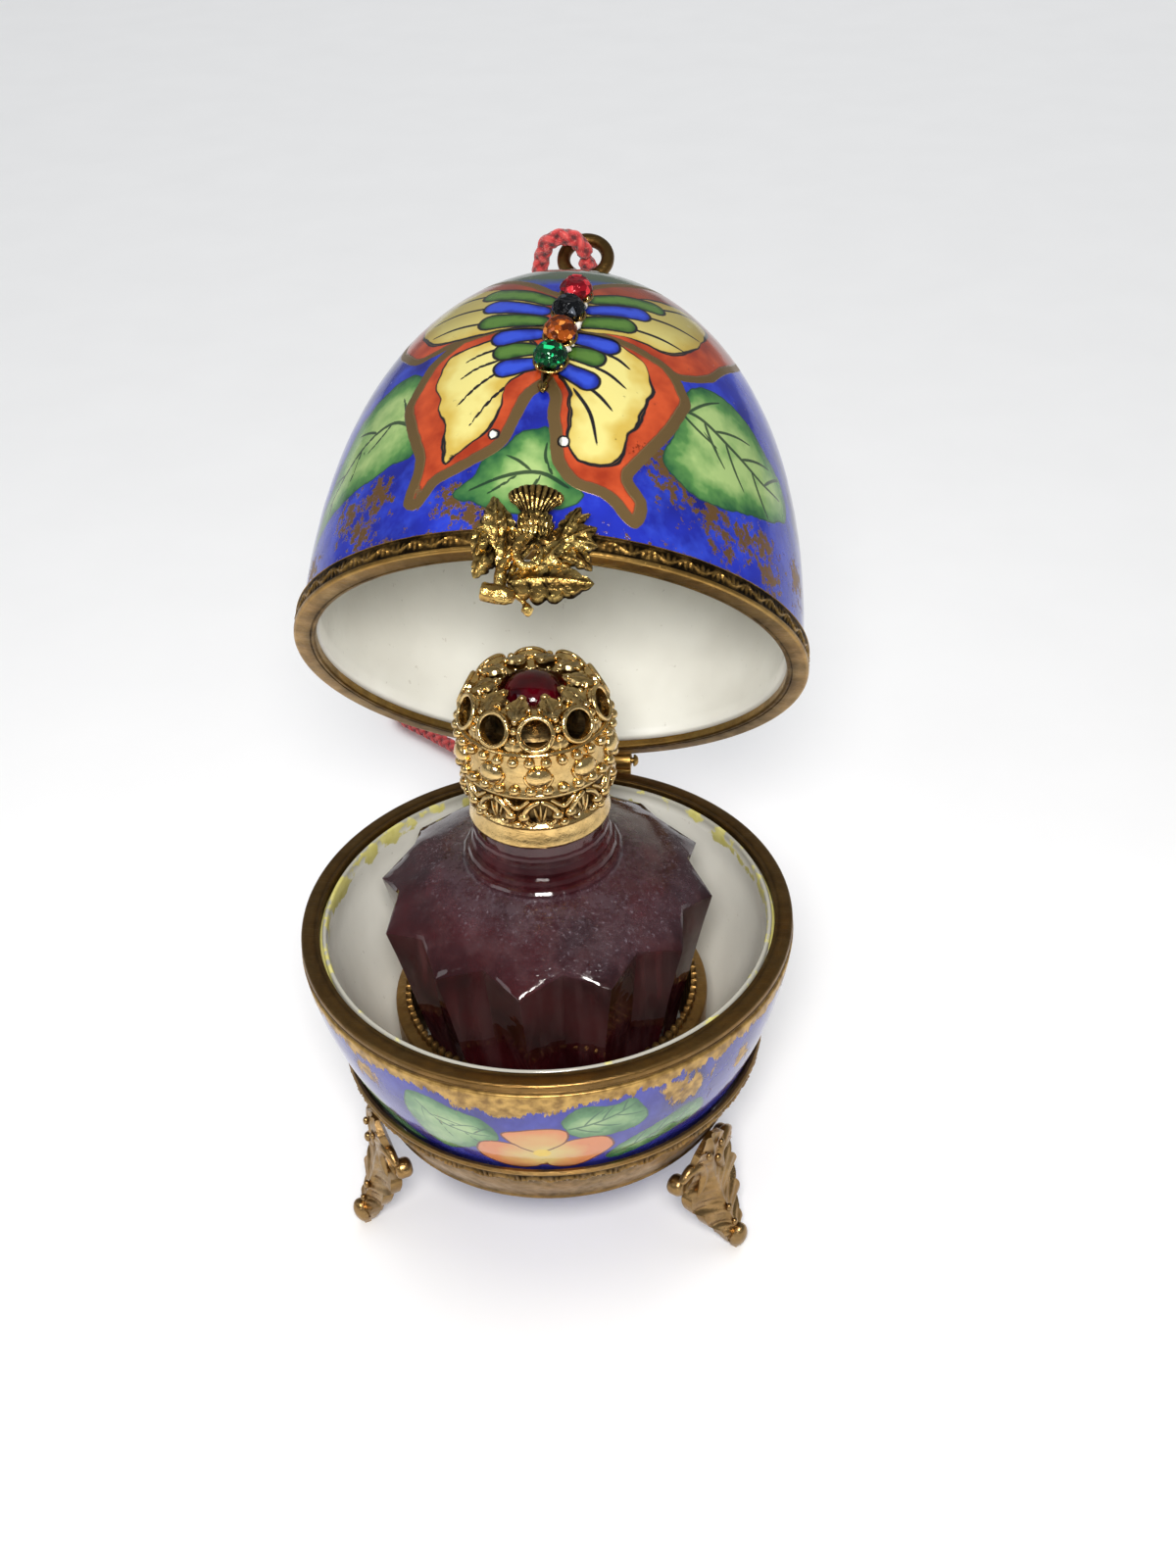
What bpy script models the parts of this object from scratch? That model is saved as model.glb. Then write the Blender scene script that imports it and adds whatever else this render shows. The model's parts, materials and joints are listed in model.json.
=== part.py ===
"""Porcelain perfume egg: a hinged egg box on three cast feet, with a glass bottle inside.

Units are metres and +Z is up. The egg stands on the table with its lid open against the stop.
The egg's own axis is vertical. Pieces are modelled round that axis with the lid closed, the lid
pieces are then turned open about the hinge, and the whole egg is moved so that the origin lies
on the table below the middle of the open egg. The front of the egg faces -Y.
"""
import math

import bmesh
import bpy
from mathutils import Matrix, Vector

MM = 0.001

# ---- shared fits
STEPS = 36                    # facets round the turned pieces
GAP = 0.35 * MM               # left between two pieces that touch

# ---- bowl, the lower half of the egg
RIM_Z = 46.4 * MM             # top of the bowl's brass rim above the table
BOWL_R = 32.2 * MM            # widest radius of the porcelain
SEAT_R = 23.4 * MM            # radius where the wall turns under the egg
SEAT_Z = 19.0 * MM
BOWL_TAPER = 1.6              # how late the wall starts to draw in
BOWL_MOUTH_R = 28.7 * MM      # inner radius at the mouth
BOWL_WALL = 2.9 * MM
FLOOR_Z = 18.0 * MM
POLE_Z = 14.5 * MM            # lowest point of the rounded bottom
LIP_R = 29.3 * MM             # the bare porcelain lip inside the brass rim
RIM_R = 32.0 * MM
RIM_THICK = 1.2 * MM

# ---- lid, the upper half of the egg
LID_Z = RIM_Z + GAP           # underside of the lid's mount when the lid is shut
LID_R = 32.05 * MM            # radius of the porcelain at its edge
LID_H = 54.6 * MM             # height of the dome above LID_Z
LID_POINT = 2.417             # exponents of the dome's egg curve
LID_ROUND = 1.982
LID_WALL = 2.4 * MM
LID_EDGE = 1.45 * MM          # where the porcelain edge starts above LID_Z
MOUNT_R = 32.8 * MM           # outside of the lid's brass mount
MOUNT_INNER_R = 30.0 * MM
MOUNT_BAND = 2.7 * MM         # height of the chased band
MOUNT_FLANGE = 1.1 * MM

# ---- hinge
LID_OPEN = math.radians(55.4)
HINGE_Y = 33.8 * MM
HINGE_Z = RIM_Z + GAP / 2
BARREL_R = 1.25 * MM
BORE_R = 0.8 * MM
PIN_R = 0.45 * MM
HINGE_HALF = 8.0 * MM         # half the length of the barrel
MIDDLE_HALF = 3.2 * MM        # half the length of the lid's knuckle
LEAF_THICK = 0.7 * MM
LEAF_TALL = 3.0 * MM

# ---- base ring and feet
RING_TOP_Z = 27.6 * MM
RING_FOOT_Z = 18.9 * MM
RING_WALL = 1.2 * MM
# Where each foot stands round the egg, in degrees, and how far its top leans to one side, in millimetres.
FEET = {"foot_left": (-61.0, 3.2), "foot_right": (61.0, -3.2), "foot_back": (180.0, 0.0)}
SCROLL_R = 1.6 * MM           # the scroll on each side of a foot
SCROLL_LONG = 2.8 * MM
SCROLL_OUT = 5.4              # its place: sideways, away from the axis, and up, in millimetres
SCROLL_REACH = 25.2
SCROLL_Z = 16.2

# ---- holder ring on the bowl's floor
HOLDER_R = 21.1 * MM
HOLDER_INNER_R = 18.8 * MM
HOLDER_FOOT_Z = 21.0 * MM
HOLDER_LEDGE_Z = 33.3 * MM
HOLDER_TOP_Z = 34.8 * MM

# ---- bottle
BOTTLE_POINTS = 12
BOTTLE_TURN = math.radians(-0.8)
BOTTLE_FOOT_Z = FLOOR_Z + GAP
STAR_Z = 50.1 * MM
STAR_R = 21.6 * MM
STAR_NOTCH_R = 18.9 * MM
NOTCH_RISE = 1.6 * MM
NECK_TOP_Z = 75.0 * MM
NECK_R = 6.9 * MM
NECK_BORE_R = 3.7 * MM

# ---- cap
CAP_FOOT_Z = 63.2 * MM
CAP_R = 9.35 * MM
CAP_BORE_R = 7.45 * MM
CAP_CEILING_Z = 75.6 * MM
CAP_BAND_Z = 71.2 * MM
CAP_BAND_TOP_Z = 77.3 * MM
CAP_TOP_Z = 81.8 * MM
CAP_REPEATS = 10              # rings, beads and scallops round the cap
CAP_TURN = math.radians(10.0) # where the first of them stands, from the front
CAP_STEPS = 20
CAP_SKIRT_R = 9.3 * MM
CAP_HOLE_R = 1.35 * MM        # the opening of each ring in the crown
CAP_HOLE_Z = 79.1 * MM
CAP_BEAD_R = 1.0 * MM
CAP_BEAD_Z = 74.3 * MM
WELL_R = 4.0 * MM             # the seat of the jewel
WELL_Z = 79.3 * MM
JEWEL_R = 3.6 * MM
JEWEL_TOP_Z = 82.6 * MM

# ---- clasp, strip of stones and top loop on the lid
CLASP_TURN = math.radians(3.5)
CLASP_R = MOUNT_R + GAP
STONE_R = 2.0 * MM
STONE_HEIGHTS = {"stone_red": 37.3 * MM, "stone_black": 33.4 * MM,
                 "stone_amber": 29.4 * MM, "stone_green": 25.3 * MM}
STRIP_TOP_H = 39.2 * MM
STRIP_END_H = 22.0 * MM
STRIP_TOP_TURN = math.radians(7.2)
STRIP_END_TURN = math.radians(1.5)
STRIP_THICK = 0.7 * MM
LOOP_CENTRE_H = 61.6 * MM
LOOP_R = 3.25 * MM
LOOP_WIRE_R = 0.75 * MM
LOOP_SIDES = 14

# ---- cord
CORD_R = 1.2 * MM
CORD_LOOP_POINTS = 10         # close together where the cord goes over the loop
CORD_FALL_POINTS = 48

PARTS_NAME = "porcelain_perfume_egg"
CUTTERS_NAME = "cutters"


# ---------------------------------------------------------------- scene helpers
def clear_scene():
    for obj in list(bpy.data.objects):
        bpy.data.objects.remove(obj, do_unlink=True)


def new_collection(name):
    collection = bpy.data.collections.new(name)
    bpy.context.scene.collection.children.link(collection)
    return collection


def material(name, colour, roughness, metallic=0.0, transmission=0.0):
    mat = bpy.data.materials.new(name)
    mat.use_nodes = True
    shader = mat.node_tree.nodes["Principled BSDF"]
    shader.inputs["Base Color"].default_value = (*colour, 1.0)
    shader.inputs["Roughness"].default_value = roughness
    shader.inputs["Metallic"].default_value = metallic
    shader.inputs["Transmission Weight"].default_value = transmission
    return mat


def empty(name, parent=None, location=(0.0, 0.0, 0.0), turn_x=0.0):
    obj = bpy.data.objects.new(name, None)
    obj.location = location
    obj.rotation_euler = (turn_x, 0.0, 0.0)
    obj.parent = parent
    parts.objects.link(obj)
    return obj


def stand(obj, parent):
    """Put an object modelled round the closed egg's axis under its parent empty."""
    obj.parent = parent
    if parent is lid_axis:
        obj.location = (0.0, -HINGE_Y, -HINGE_Z)


def add_piece(name, mesh, mat, parent):
    """A finished piece: one named object with its own material."""
    obj = bpy.data.objects.new(name, mesh)
    parts.objects.link(obj)
    mesh.materials.append(mat)
    mesh.shade_smooth()
    mesh.set_sharp_from_angle(angle=math.radians(35.0))
    stand(obj, parent)
    return obj


def add_cutter(name, mesh, parent):
    """A shape that a Boolean takes away or joins on. It isn't a piece of its own."""
    obj = bpy.data.objects.new(name, mesh)
    cutters.objects.link(obj)
    obj.hide_render = True
    obj.display_type = "WIRE"
    stand(obj, parent)
    return obj


def boolean(obj, cutter, operation):
    mod = obj.modifiers.new(operation.lower() + "_" + cutter.name, "BOOLEAN")
    mod.operation = operation
    mod.solver = "EXACT"
    mod.object = cutter


# ---------------------------------------------------------------- shape helpers
def profile_mesh(name, points):
    """Edges through (radius, height) points. A profile clear of the axis is closed into a loop."""
    mesh = bpy.data.meshes.new(name)
    edges = [(i, i + 1) for i in range(len(points) - 1)]
    if points[0][0] > 0.0:
        edges.append((len(points) - 1, 0))
    mesh.from_pydata([(radius, 0.0, height) for radius, height in points], edges, [])
    return mesh


def turn_profile(obj, steps):
    mod = obj.modifiers.new("turned", "SCREW")
    mod.axis = "Z"
    mod.angle = 2.0 * math.pi
    mod.steps = steps
    mod.render_steps = steps
    mod.use_merge_vertices = True
    mod.merge_threshold = 0.00001
    mod.use_smooth_shade = True


def turned(name, points, mat, parent, steps=STEPS):
    """A turned piece. The profile runs down the outer side and back up the inner side."""
    obj = add_piece(name, profile_mesh(name, points), mat, parent)
    turn_profile(obj, steps)
    return obj


def turned_cutter(name, points, parent, steps=STEPS):
    obj = add_cutter(name, profile_mesh(name, points), parent)
    turn_profile(obj, steps)
    return obj


def lofted_mesh(name, rings):
    """A closed solid through rings of points, capped flat at both ends."""
    bm = bmesh.new()
    loops = [[bm.verts.new(point) for point in ring] for ring in rings]
    for lower, upper in zip(loops, loops[1:]):
        for i in range(len(lower)):
            j = (i + 1) % len(lower)
            bm.faces.new((lower[i], lower[j], upper[j], upper[i]))
    bm.faces.new(loops[0][::-1])
    bm.faces.new(loops[-1])
    bmesh.ops.recalc_face_normals(bm, faces=bm.faces)
    mesh = bpy.data.meshes.new(name)
    bm.to_mesh(mesh)
    bm.free()
    return mesh


def cylinder_mesh(name, radius, length, sides, matrix, end_radius=None):
    """A cylinder or a cone centred on its own middle, with its axis on Z before the matrix."""
    bm = bmesh.new()
    bmesh.ops.create_cone(bm, cap_ends=True, cap_tris=False, segments=sides, radius1=radius,
                          radius2=radius if end_radius is None else end_radius,
                          depth=length, matrix=matrix)
    mesh = bpy.data.meshes.new(name)
    bm.to_mesh(mesh)
    bm.free()
    return mesh


def box_mesh(name, low, high):
    bm = bmesh.new()
    centre = (Vector(low) + Vector(high)) / 2.0
    size = Vector(high) - Vector(low)
    bmesh.ops.create_cube(bm, size=1.0, matrix=Matrix.Translation(centre) @ Matrix.Diagonal((*size, 1.0)))
    mesh = bpy.data.meshes.new(name)
    bm.to_mesh(mesh)
    bm.free()
    return mesh


def ball_mesh(name, matrix, rings=4, segments=7):
    """A ball of radius 1 before the matrix."""
    bm = bmesh.new()
    bmesh.ops.create_uvsphere(bm, u_segments=segments, v_segments=rings, radius=1.0, matrix=matrix)
    mesh = bpy.data.meshes.new(name)
    bm.to_mesh(mesh)
    bm.free()
    return mesh


def smooth_route(points, count):
    """Points spaced evenly along a smooth curve through the given points."""
    ends = [points[0] * 2.0 - points[1], *points, points[-1] * 2.0 - points[-2]]
    fine = []
    for a, b, c, d in zip(ends, ends[1:], ends[2:], ends[3:]):
        for i in range(20):
            t = i / 20.0
            fine.append(0.5 * (2.0 * b + (c - a) * t + (2.0 * a - 5.0 * b + 4.0 * c - d) * t ** 2
                               + (3.0 * b - a - 3.0 * c + d) * t ** 3))
    fine.append(points[-1])
    reach = [0.0]
    for a, b in zip(fine, fine[1:]):
        reach.append(reach[-1] + (b - a).length)
    route = []
    step = 0
    for i in range(count):
        wanted = reach[-1] * i / (count - 1)
        while step < len(fine) - 2 and reach[step + 1] < wanted:
            step += 1
        share = (wanted - reach[step]) / (reach[step + 1] - reach[step])
        route.append(fine[step].lerp(fine[step + 1], share))
    return route


def wire(name, points, radius, bevel_resolution):
    """A round wire through points, as a curve object with filled caps."""
    curve = bpy.data.curves.new(name, "CURVE")
    curve.dimensions = "3D"
    curve.bevel_depth = radius
    curve.bevel_resolution = bevel_resolution
    curve.use_fill_caps = True
    spline = curve.splines.new("POLY")
    spline.points.add(len(points) - 1)
    for target, point in zip(spline.points, points):
        target.co = (*point, 1.0)
    return bpy.data.objects.new(name, curve)


def wire_mesh(name, points, radius, bevel_resolution=2):
    """The same wire as a closed mesh, which a Boolean can use."""
    obj = wire(name, points, radius, bevel_resolution)
    parts.objects.link(obj)
    depsgraph = bpy.context.evaluated_depsgraph_get()
    mesh = bpy.data.meshes.new_from_object(obj.evaluated_get(depsgraph))
    bpy.data.objects.remove(obj, do_unlink=True)
    bm = bmesh.new()
    bm.from_mesh(mesh)
    bmesh.ops.remove_doubles(bm, verts=bm.verts, dist=0.00001)
    bm.to_mesh(mesh)
    bm.free()
    mesh.name = name
    return mesh


# ---------------------------------------------------------------- the egg's own curves
def bowl_radius(z):
    """Outer radius of the bowl's wall at a height between its seat and its rim."""
    fall = (RIM_Z - z) / (RIM_Z - SEAT_Z)
    return BOWL_R - (BOWL_R - SEAT_R) * fall ** BOWL_TAPER


def dome_radius(h, edge_radius=LID_R, height=LID_H):
    """Radius of the lid's egg curve at a height above the lid's edge."""
    rest = max(0.0, 1.0 - (h / height) ** LID_POINT)
    return edge_radius * rest ** (1.0 / LID_ROUND)


def dome_slope(h):
    """Angle of the dome's normal above the horizontal."""
    small = 0.05 * MM
    run = dome_radius(h - small) - dome_radius(h + small)
    return math.atan2(run, 2.0 * small)


def on_lid(turn, radius, height):
    """A point by its turn round the egg from the front, its radius and its height when shut."""
    return Vector((radius * math.sin(turn), -radius * math.cos(turn), height))


def lid_normal(turn, slope):
    return Vector((math.sin(turn) * math.cos(slope), -math.cos(turn) * math.cos(slope), math.sin(slope)))


# ---------------------------------------------------------------- base: porcelain and brass
def make_bowl(mat):
    inner = [(0.0, FLOOR_Z), (16.6 * MM, FLOOR_Z), (19.6 * MM, FLOOR_Z + 1.0 * MM)]
    for z in (21.5 * MM, 28.5 * MM, 36.5 * MM):
        inner.append((min(bowl_radius(z) - BOWL_WALL, BOWL_MOUTH_R), z))
    lip_z = RIM_Z - GAP
    shoulder_z = RIM_Z - RIM_THICK - GAP
    lip = [(BOWL_MOUTH_R, lip_z), (LIP_R, lip_z), (LIP_R, shoulder_z), (bowl_radius(shoulder_z), shoulder_z)]
    outer = [(bowl_radius(z), z) for z in (38.0 * MM, 30.5 * MM, 24.0 * MM, SEAT_Z)]
    swing = math.radians(48.0)
    bottom = [(SEAT_R * math.cos(swing), SEAT_Z - (SEAT_Z - POLE_Z) * math.sin(swing)), (0.0, POLE_Z)]
    return turned("bowl", inner + lip + outer + bottom, mat, egg)


def make_bowl_rim(mat):
    foot = RIM_Z - RIM_THICK
    inner = LIP_R + GAP
    edge = 0.35 * MM
    points = [(inner, RIM_Z), (RIM_R - edge, RIM_Z), (RIM_R, RIM_Z - edge), (RIM_R, foot), (inner, foot)]
    return turned("bowl_rim", points, mat, egg)


def make_base_ring(mat):
    """A tapered brass band with a rolled foot, which the bowl wedges into."""
    def outside(z, extra):
        return (bowl_radius(z) + GAP + extra * MM, z)
    points = [outside(RING_TOP_Z, 0.5), outside(26.9 * MM, 1.0), outside(24.4 * MM, 0.9),
              outside(20.4 * MM, 1.0), (SEAT_R + GAP + RING_WALL, RING_FOOT_Z),
              (SEAT_R + GAP, RING_FOOT_Z), outside(22.5 * MM, 0.1), outside(RING_TOP_Z, 0.1)]
    return turned("base_ring", points, mat, egg)


def make_holder_ring(mat):
    """A ring with an upright gallery edge round the bottle's foot."""
    points = [(HOLDER_INNER_R + 0.5 * MM, HOLDER_TOP_Z), (HOLDER_INNER_R + 0.6 * MM, HOLDER_LEDGE_Z),
              (HOLDER_R - 0.1 * MM, HOLDER_LEDGE_Z - 0.3 * MM), (HOLDER_R - 0.4 * MM, HOLDER_FOOT_Z),
              (HOLDER_INNER_R, HOLDER_FOOT_Z), (HOLDER_INNER_R, HOLDER_TOP_Z)]
    return turned("holder_ring", points, mat, egg, steps=30)


# Height, reach of the middle from the egg's axis, half width and depth of a foot, in millimetres.
FOOT_STATIONS = ((22.6, 27.2, 1.0, 0.9), (21.2, 27.2, 2.8, 1.3), (19.0, 26.9, 3.6, 1.6),
                 (17.0, 26.4, 5.0, 2.0), (15.0, 26.2, 5.6, 2.1), (12.8, 26.6, 4.6, 2.2),
                 (10.8, 27.0, 4.5, 2.2), (8.6, 27.7, 3.1, 2.1), (6.6, 28.2, 2.8, 2.1),
                 (4.4, 28.9, 1.9, 2.3), (2.2, 29.6, 1.9, 2.8), (0.7, 29.9, 1.6, 3.0),
                 (0.0, 29.9, 1.3, 2.6))
FOOT_TALL = FOOT_STATIONS[0][0]


def foot_section(sway, height, reach, half_width, depth):
    """A leaf's section: flat behind, with a midrib and a hollow on each side of it in front."""
    outline = ((-1.0, -0.5), (-1.0, 0.05), (-0.5, 0.22), (0.0, 0.5), (0.5, 0.22), (1.0, 0.05), (1.0, -0.5))
    shift = sway * height / FOOT_TALL
    return [Vector((shift + side * half_width, -(reach + out * depth), height)) * MM for side, out in outline]


def make_foot(name, turn, sway, mat):
    spin = Matrix.Rotation(math.radians(turn), 4, "Z")
    mesh = lofted_mesh(name, [foot_section(sway, *station) for station in FOOT_STATIONS])
    mesh.transform(spin)
    foot = add_piece(name, mesh, mat, egg)
    for side in (-1.0, 1.0):
        shift = sway * SCROLL_Z / FOOT_TALL + side * SCROLL_OUT
        place = Matrix.Translation(Vector((shift, -SCROLL_REACH, SCROLL_Z)) * MM)
        lying = spin @ place @ Matrix.Rotation(math.pi / 2, 4, "X")
        scroll = cylinder_mesh(name + "_scroll", SCROLL_R, SCROLL_LONG, 8, lying)
        boolean(foot, add_cutter(name + "_scroll", scroll, egg), "UNION")
    return foot


# ---------------------------------------------------------------- base: bottle and cap
def star_ring(z, point_r, notch_r, rise=0.0):
    """A ring of the bottle's star: points and notches in turn, the notches raised."""
    ring = []
    for i in range(BOTTLE_POINTS * 2):
        turn = BOTTLE_TURN + math.pi * i / BOTTLE_POINTS
        radius = notch_r if i % 2 else point_r
        ring.append(on_lid(turn, radius, z + (rise if i % 2 else 0.0)))
    return ring


def make_bottle(mat):
    rings = [star_ring(BOTTLE_FOOT_Z, 14.6 * MM, 14.5 * MM),
             star_ring(19.5 * MM, 15.6 * MM, 15.4 * MM),
             star_ring(30.0 * MM, 17.2 * MM, 16.2 * MM),
             star_ring(42.0 * MM, 19.7 * MM, 17.7 * MM),
             star_ring(STAR_Z, STAR_R, STAR_NOTCH_R, NOTCH_RISE),
             star_ring(53.4 * MM, 16.4 * MM, 15.9 * MM, 0.4 * MM)]
    neck = ((55.5, 11.8), (56.1, 10.1), (57.4, 9.6), (58.8, 8.6), (62.7, 8.2),
            (63.0, NECK_R / MM), (NECK_TOP_Z / MM, NECK_R / MM))
    rings += [star_ring(z * MM, radius * MM, radius * MM) for z, radius in neck]
    bottle = add_piece("bottle", lofted_mesh("bottle", rings), mat, egg)
    hollow = [(0.0, NECK_TOP_Z + 1.0 * MM), (NECK_BORE_R, NECK_TOP_Z + 1.0 * MM), (NECK_BORE_R, 57.0 * MM),
              (14.2 * MM, 48.0 * MM), (13.4 * MM, 24.0 * MM), (11.5 * MM, 22.0 * MM), (0.0, 22.0 * MM)]
    boolean(bottle, turned_cutter("bottle_hollow", hollow, egg, steps=12), "DIFFERENCE")
    return bottle


def make_cap(mat):
    """A cast cap: collar, scalloped skirt, beaded band, and a crown of ten open rings."""
    points = [(0.0, WELL_Z), (WELL_R, WELL_Z), (4.6 * MM, CAP_TOP_Z),
              (7.2 * MM, 81.5 * MM), (8.7 * MM, 79.6 * MM), (9.2 * MM, CAP_BAND_TOP_Z),
              (CAP_R, 76.6 * MM), (CAP_R, CAP_BAND_Z), (9.0 * MM, 70.6 * MM), (CAP_SKIRT_R, 67.6 * MM),
              (8.8 * MM, 65.2 * MM), (8.2 * MM, CAP_FOOT_Z), (CAP_BORE_R, CAP_FOOT_Z),
              (CAP_BORE_R, CAP_CEILING_Z), (0.0, CAP_CEILING_Z)]
    cap = turned("cap", points, mat, egg, steps=CAP_STEPS)
    void = [(0.0, 78.6 * MM), (4.9 * MM, 78.6 * MM), (5.4 * MM, 80.7 * MM), (6.8 * MM, 80.5 * MM),
            (8.2 * MM, 76.4 * MM), (0.0, 76.4 * MM)]
    boolean(cap, turned_cutter("cap_void", void, egg, steps=CAP_STEPS), "DIFFERENCE")
    for i in range(CAP_REPEATS):
        turn = CAP_TURN + 2.0 * math.pi * i / CAP_REPEATS
        outward = Matrix.Rotation(turn, 4, "Z") @ Matrix.Rotation(math.pi / 2, 4, "X")
        hole = Matrix.Translation(on_lid(turn, 8.6 * MM, CAP_HOLE_Z)) @ outward
        boolean(cap, add_cutter("cap_hole", cylinder_mesh("cap_hole", CAP_HOLE_R, 3.0 * MM, 6, hole), egg),
                "DIFFERENCE")
        bead = Matrix.Translation(on_lid(turn, CAP_R + 0.15 * MM, CAP_BEAD_Z)) @ outward
        dome = cylinder_mesh("cap_bead", CAP_BEAD_R, 1.0 * MM, 5, bead, end_radius=CAP_BEAD_R / 2.0)
        boolean(cap, add_cutter("cap_bead", dome, egg), "UNION")
    return cap


def make_cap_jewel(mat):
    foot = WELL_Z + GAP
    points = [(0.0, JEWEL_TOP_Z), (1.9 * MM, 82.1 * MM), (3.1 * MM, 81.1 * MM), (JEWEL_R, 80.0 * MM),
              (JEWEL_R, foot), (0.0, foot)]
    return turned("cap_jewel", points, mat, egg, steps=12)


# ---------------------------------------------------------------- hinge
def along_x(centre_x):
    """Matrix that lays a shape's Z axis along the hinge pin, at a place along it."""
    return Matrix.Translation((centre_x, HINGE_Y, HINGE_Z)) @ Matrix.Rotation(math.pi / 2, 4, "Y")


def make_hinge_half(name, knuckles, leaf_y, leaf_low, leaf_high, mat, parent):
    """Knuckles round the pin, each (from, to) along X, soldered to upright leaves."""
    half = None
    for i, (start, stop) in enumerate(knuckles):
        barrel = cylinder_mesh(name, BARREL_R, stop - start, 12, along_x((start + stop) / 2.0))
        leaf = box_mesh(name + "_leaf", (start, leaf_y, leaf_low), (stop, leaf_y + LEAF_THICK, leaf_high))
        if half is None:
            half = add_piece(name, barrel, mat, parent)
        else:
            boolean(half, add_cutter(name + "_knuckle", barrel, parent), "UNION")
        boolean(half, add_cutter(name + "_leaf", leaf, parent), "UNION")
    bore = cylinder_mesh(name + "_bore", BORE_R, 3.0 * HINGE_HALF, 10, along_x(0.0))
    boolean(half, add_cutter(name + "_bore", bore, parent), "DIFFERENCE")
    return half


def make_bowl_hinge(mat):
    """Two outer knuckles joined by one leaf that runs below the lid's knuckle."""
    inner = MIDDLE_HALF + GAP
    leaf_y = BOWL_R + GAP
    half = make_hinge_half("bowl_hinge", ((-HINGE_HALF, -inner), (inner, HINGE_HALF)), leaf_y,
                           RIM_Z - LEAF_TALL, HINGE_Z, mat, egg)
    bridge = box_mesh("bowl_hinge_bridge", (-HINGE_HALF, leaf_y, RIM_Z - LEAF_TALL),
                      (HINGE_HALF, leaf_y + LEAF_THICK, RIM_Z - 1.5 * MM))
    boolean(half, add_cutter("bowl_hinge_bridge", bridge, egg), "UNION")
    return half


def make_lid_hinge(mat):
    wall = (BORE_R + BARREL_R) / 2.0
    return make_hinge_half("lid_hinge", ((-MIDDLE_HALF, MIDDLE_HALF),), MOUNT_R + GAP,
                           HINGE_Z + wall, HINGE_Z + LEAF_TALL, mat, lid_axis)


def make_hinge_pin(mat):
    """A pin with a low round head at each end."""
    end = HINGE_HALF + GAP
    head = 0.9 * MM
    points = [(0.0, end + 0.7 * MM), (head * 0.6, end + 0.6 * MM), (head, end), (PIN_R, end),
              (PIN_R, -end), (head, -end), (head * 0.6, -end - 0.6 * MM), (0.0, -end - 0.7 * MM)]
    pin = turned("hinge_pin", points, mat, egg, steps=8)
    pin.location = (0.0, HINGE_Y, HINGE_Z)
    pin.rotation_euler = (0.0, math.pi / 2, 0.0)
    return pin


# ---------------------------------------------------------------- lid: porcelain and mount
def dome_profile(edge_radius, height, count):
    """Points up an egg curve from the porcelain's edge to the top."""
    points = []
    for i in range(count):
        h = max(height * math.sin(math.pi / 2.0 * i / count), LID_EDGE)
        points.append((dome_radius(h, edge_radius, height), LID_Z + h))
    return points + [(0.0, LID_Z + height)]


def make_lid(mat):
    inner_r = LID_R - LID_WALL
    inner_h = LID_H - LID_WALL
    outer = dome_profile(LID_R, LID_H, 7)
    inner = dome_profile(inner_r, inner_h, 6)
    return turned("lid", outer[::-1] + inner, mat, lid_axis)


def make_lid_rim(mat):
    """An angle of brass: a flange under the porcelain's edge and a band round it."""
    band_inner = LID_R + GAP
    points = [(band_inner, LID_Z + MOUNT_BAND), (MOUNT_R, LID_Z + MOUNT_BAND - 0.2 * MM),
              (MOUNT_R, LID_Z + 0.3 * MM), (MOUNT_R - 0.3 * MM, LID_Z), (MOUNT_INNER_R, LID_Z),
              (MOUNT_INNER_R, LID_Z + MOUNT_FLANGE), (band_inner, LID_Z + MOUNT_FLANGE)]
    rim = turned("lid_rim", points, mat, lid_axis)
    notch = cylinder_mesh("hinge_notch", BARREL_R + GAP, 2.0 * (HINGE_HALF + GAP), 12, along_x(0.0))
    boolean(rim, add_cutter("hinge_notch", notch, lid_axis), "DIFFERENCE")
    return rim


# ---------------------------------------------------------------- lid: clasp
def clasp_point(u, v, w):
    """A place on the clasp in millimetres: across, up from the lid's edge, and out."""
    return Vector((u * MM, -CLASP_R - w * MM, LID_Z + v * MM))


def leaf_mesh(name, base, tip, width, lift, lobes=2):
    """A cast leaf from base to tip: a ridge down the middle and a lobed edge."""
    start = Vector(base)
    along = Vector(tip) - start
    across = Vector((-along.y, along.x)).normalized()
    rings = []
    count = 2 * lobes + 2
    for i in range(count):
        t = i / (count - 1)
        swell = math.sin(math.pi * (0.12 + 0.84 * t) ** 0.85)
        half = max(0.12, width / 2.0 * swell * (1.0 if i % 2 else 0.72))
        thick = 0.35 + 0.55 * math.sin(math.pi * min(1.0, 0.15 + 0.8 * t))
        middle = start + along * t
        left = middle + across * half
        right = middle - across * half
        rings.append([clasp_point(left.x, left.y, lift), clasp_point(right.x, right.y, lift - 0.2),
                      clasp_point(middle.x, middle.y, lift + thick)])
    return lofted_mesh(name, rings)


def flower_mesh():
    """The thistle's brush: a fluted fan that opens upwards from the calyx."""
    rings = []
    for v, half_width, depth in ((3.2, 1.3, 0.9), (4.6, 2.3, 1.3), (5.9, 3.1, 1.5), (6.7, 2.2, 0.9)):
        ring = []
        for i in range(12):
            turn = 2.0 * math.pi * i / 12
            flute = 1.0 if i % 2 else 0.88
            bow = 0.5 * math.cos(turn) ** 2 if v > 5.0 else 0.0
            ring.append(clasp_point(-0.3 + half_width * flute * math.cos(turn), v - bow,
                                    1.6 + depth * flute * math.sin(turn)))
        rings.append(ring)
    return lofted_mesh("clasp", rings)


def ball_on_clasp(name, u, v, w, radius_u, radius_v, radius_w):
    place = Matrix.Translation(clasp_point(u, v, w))
    size = Matrix.Diagonal((radius_u * MM, radius_w * MM, radius_v * MM, 1.0))
    return ball_mesh(name, place @ size)


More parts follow.
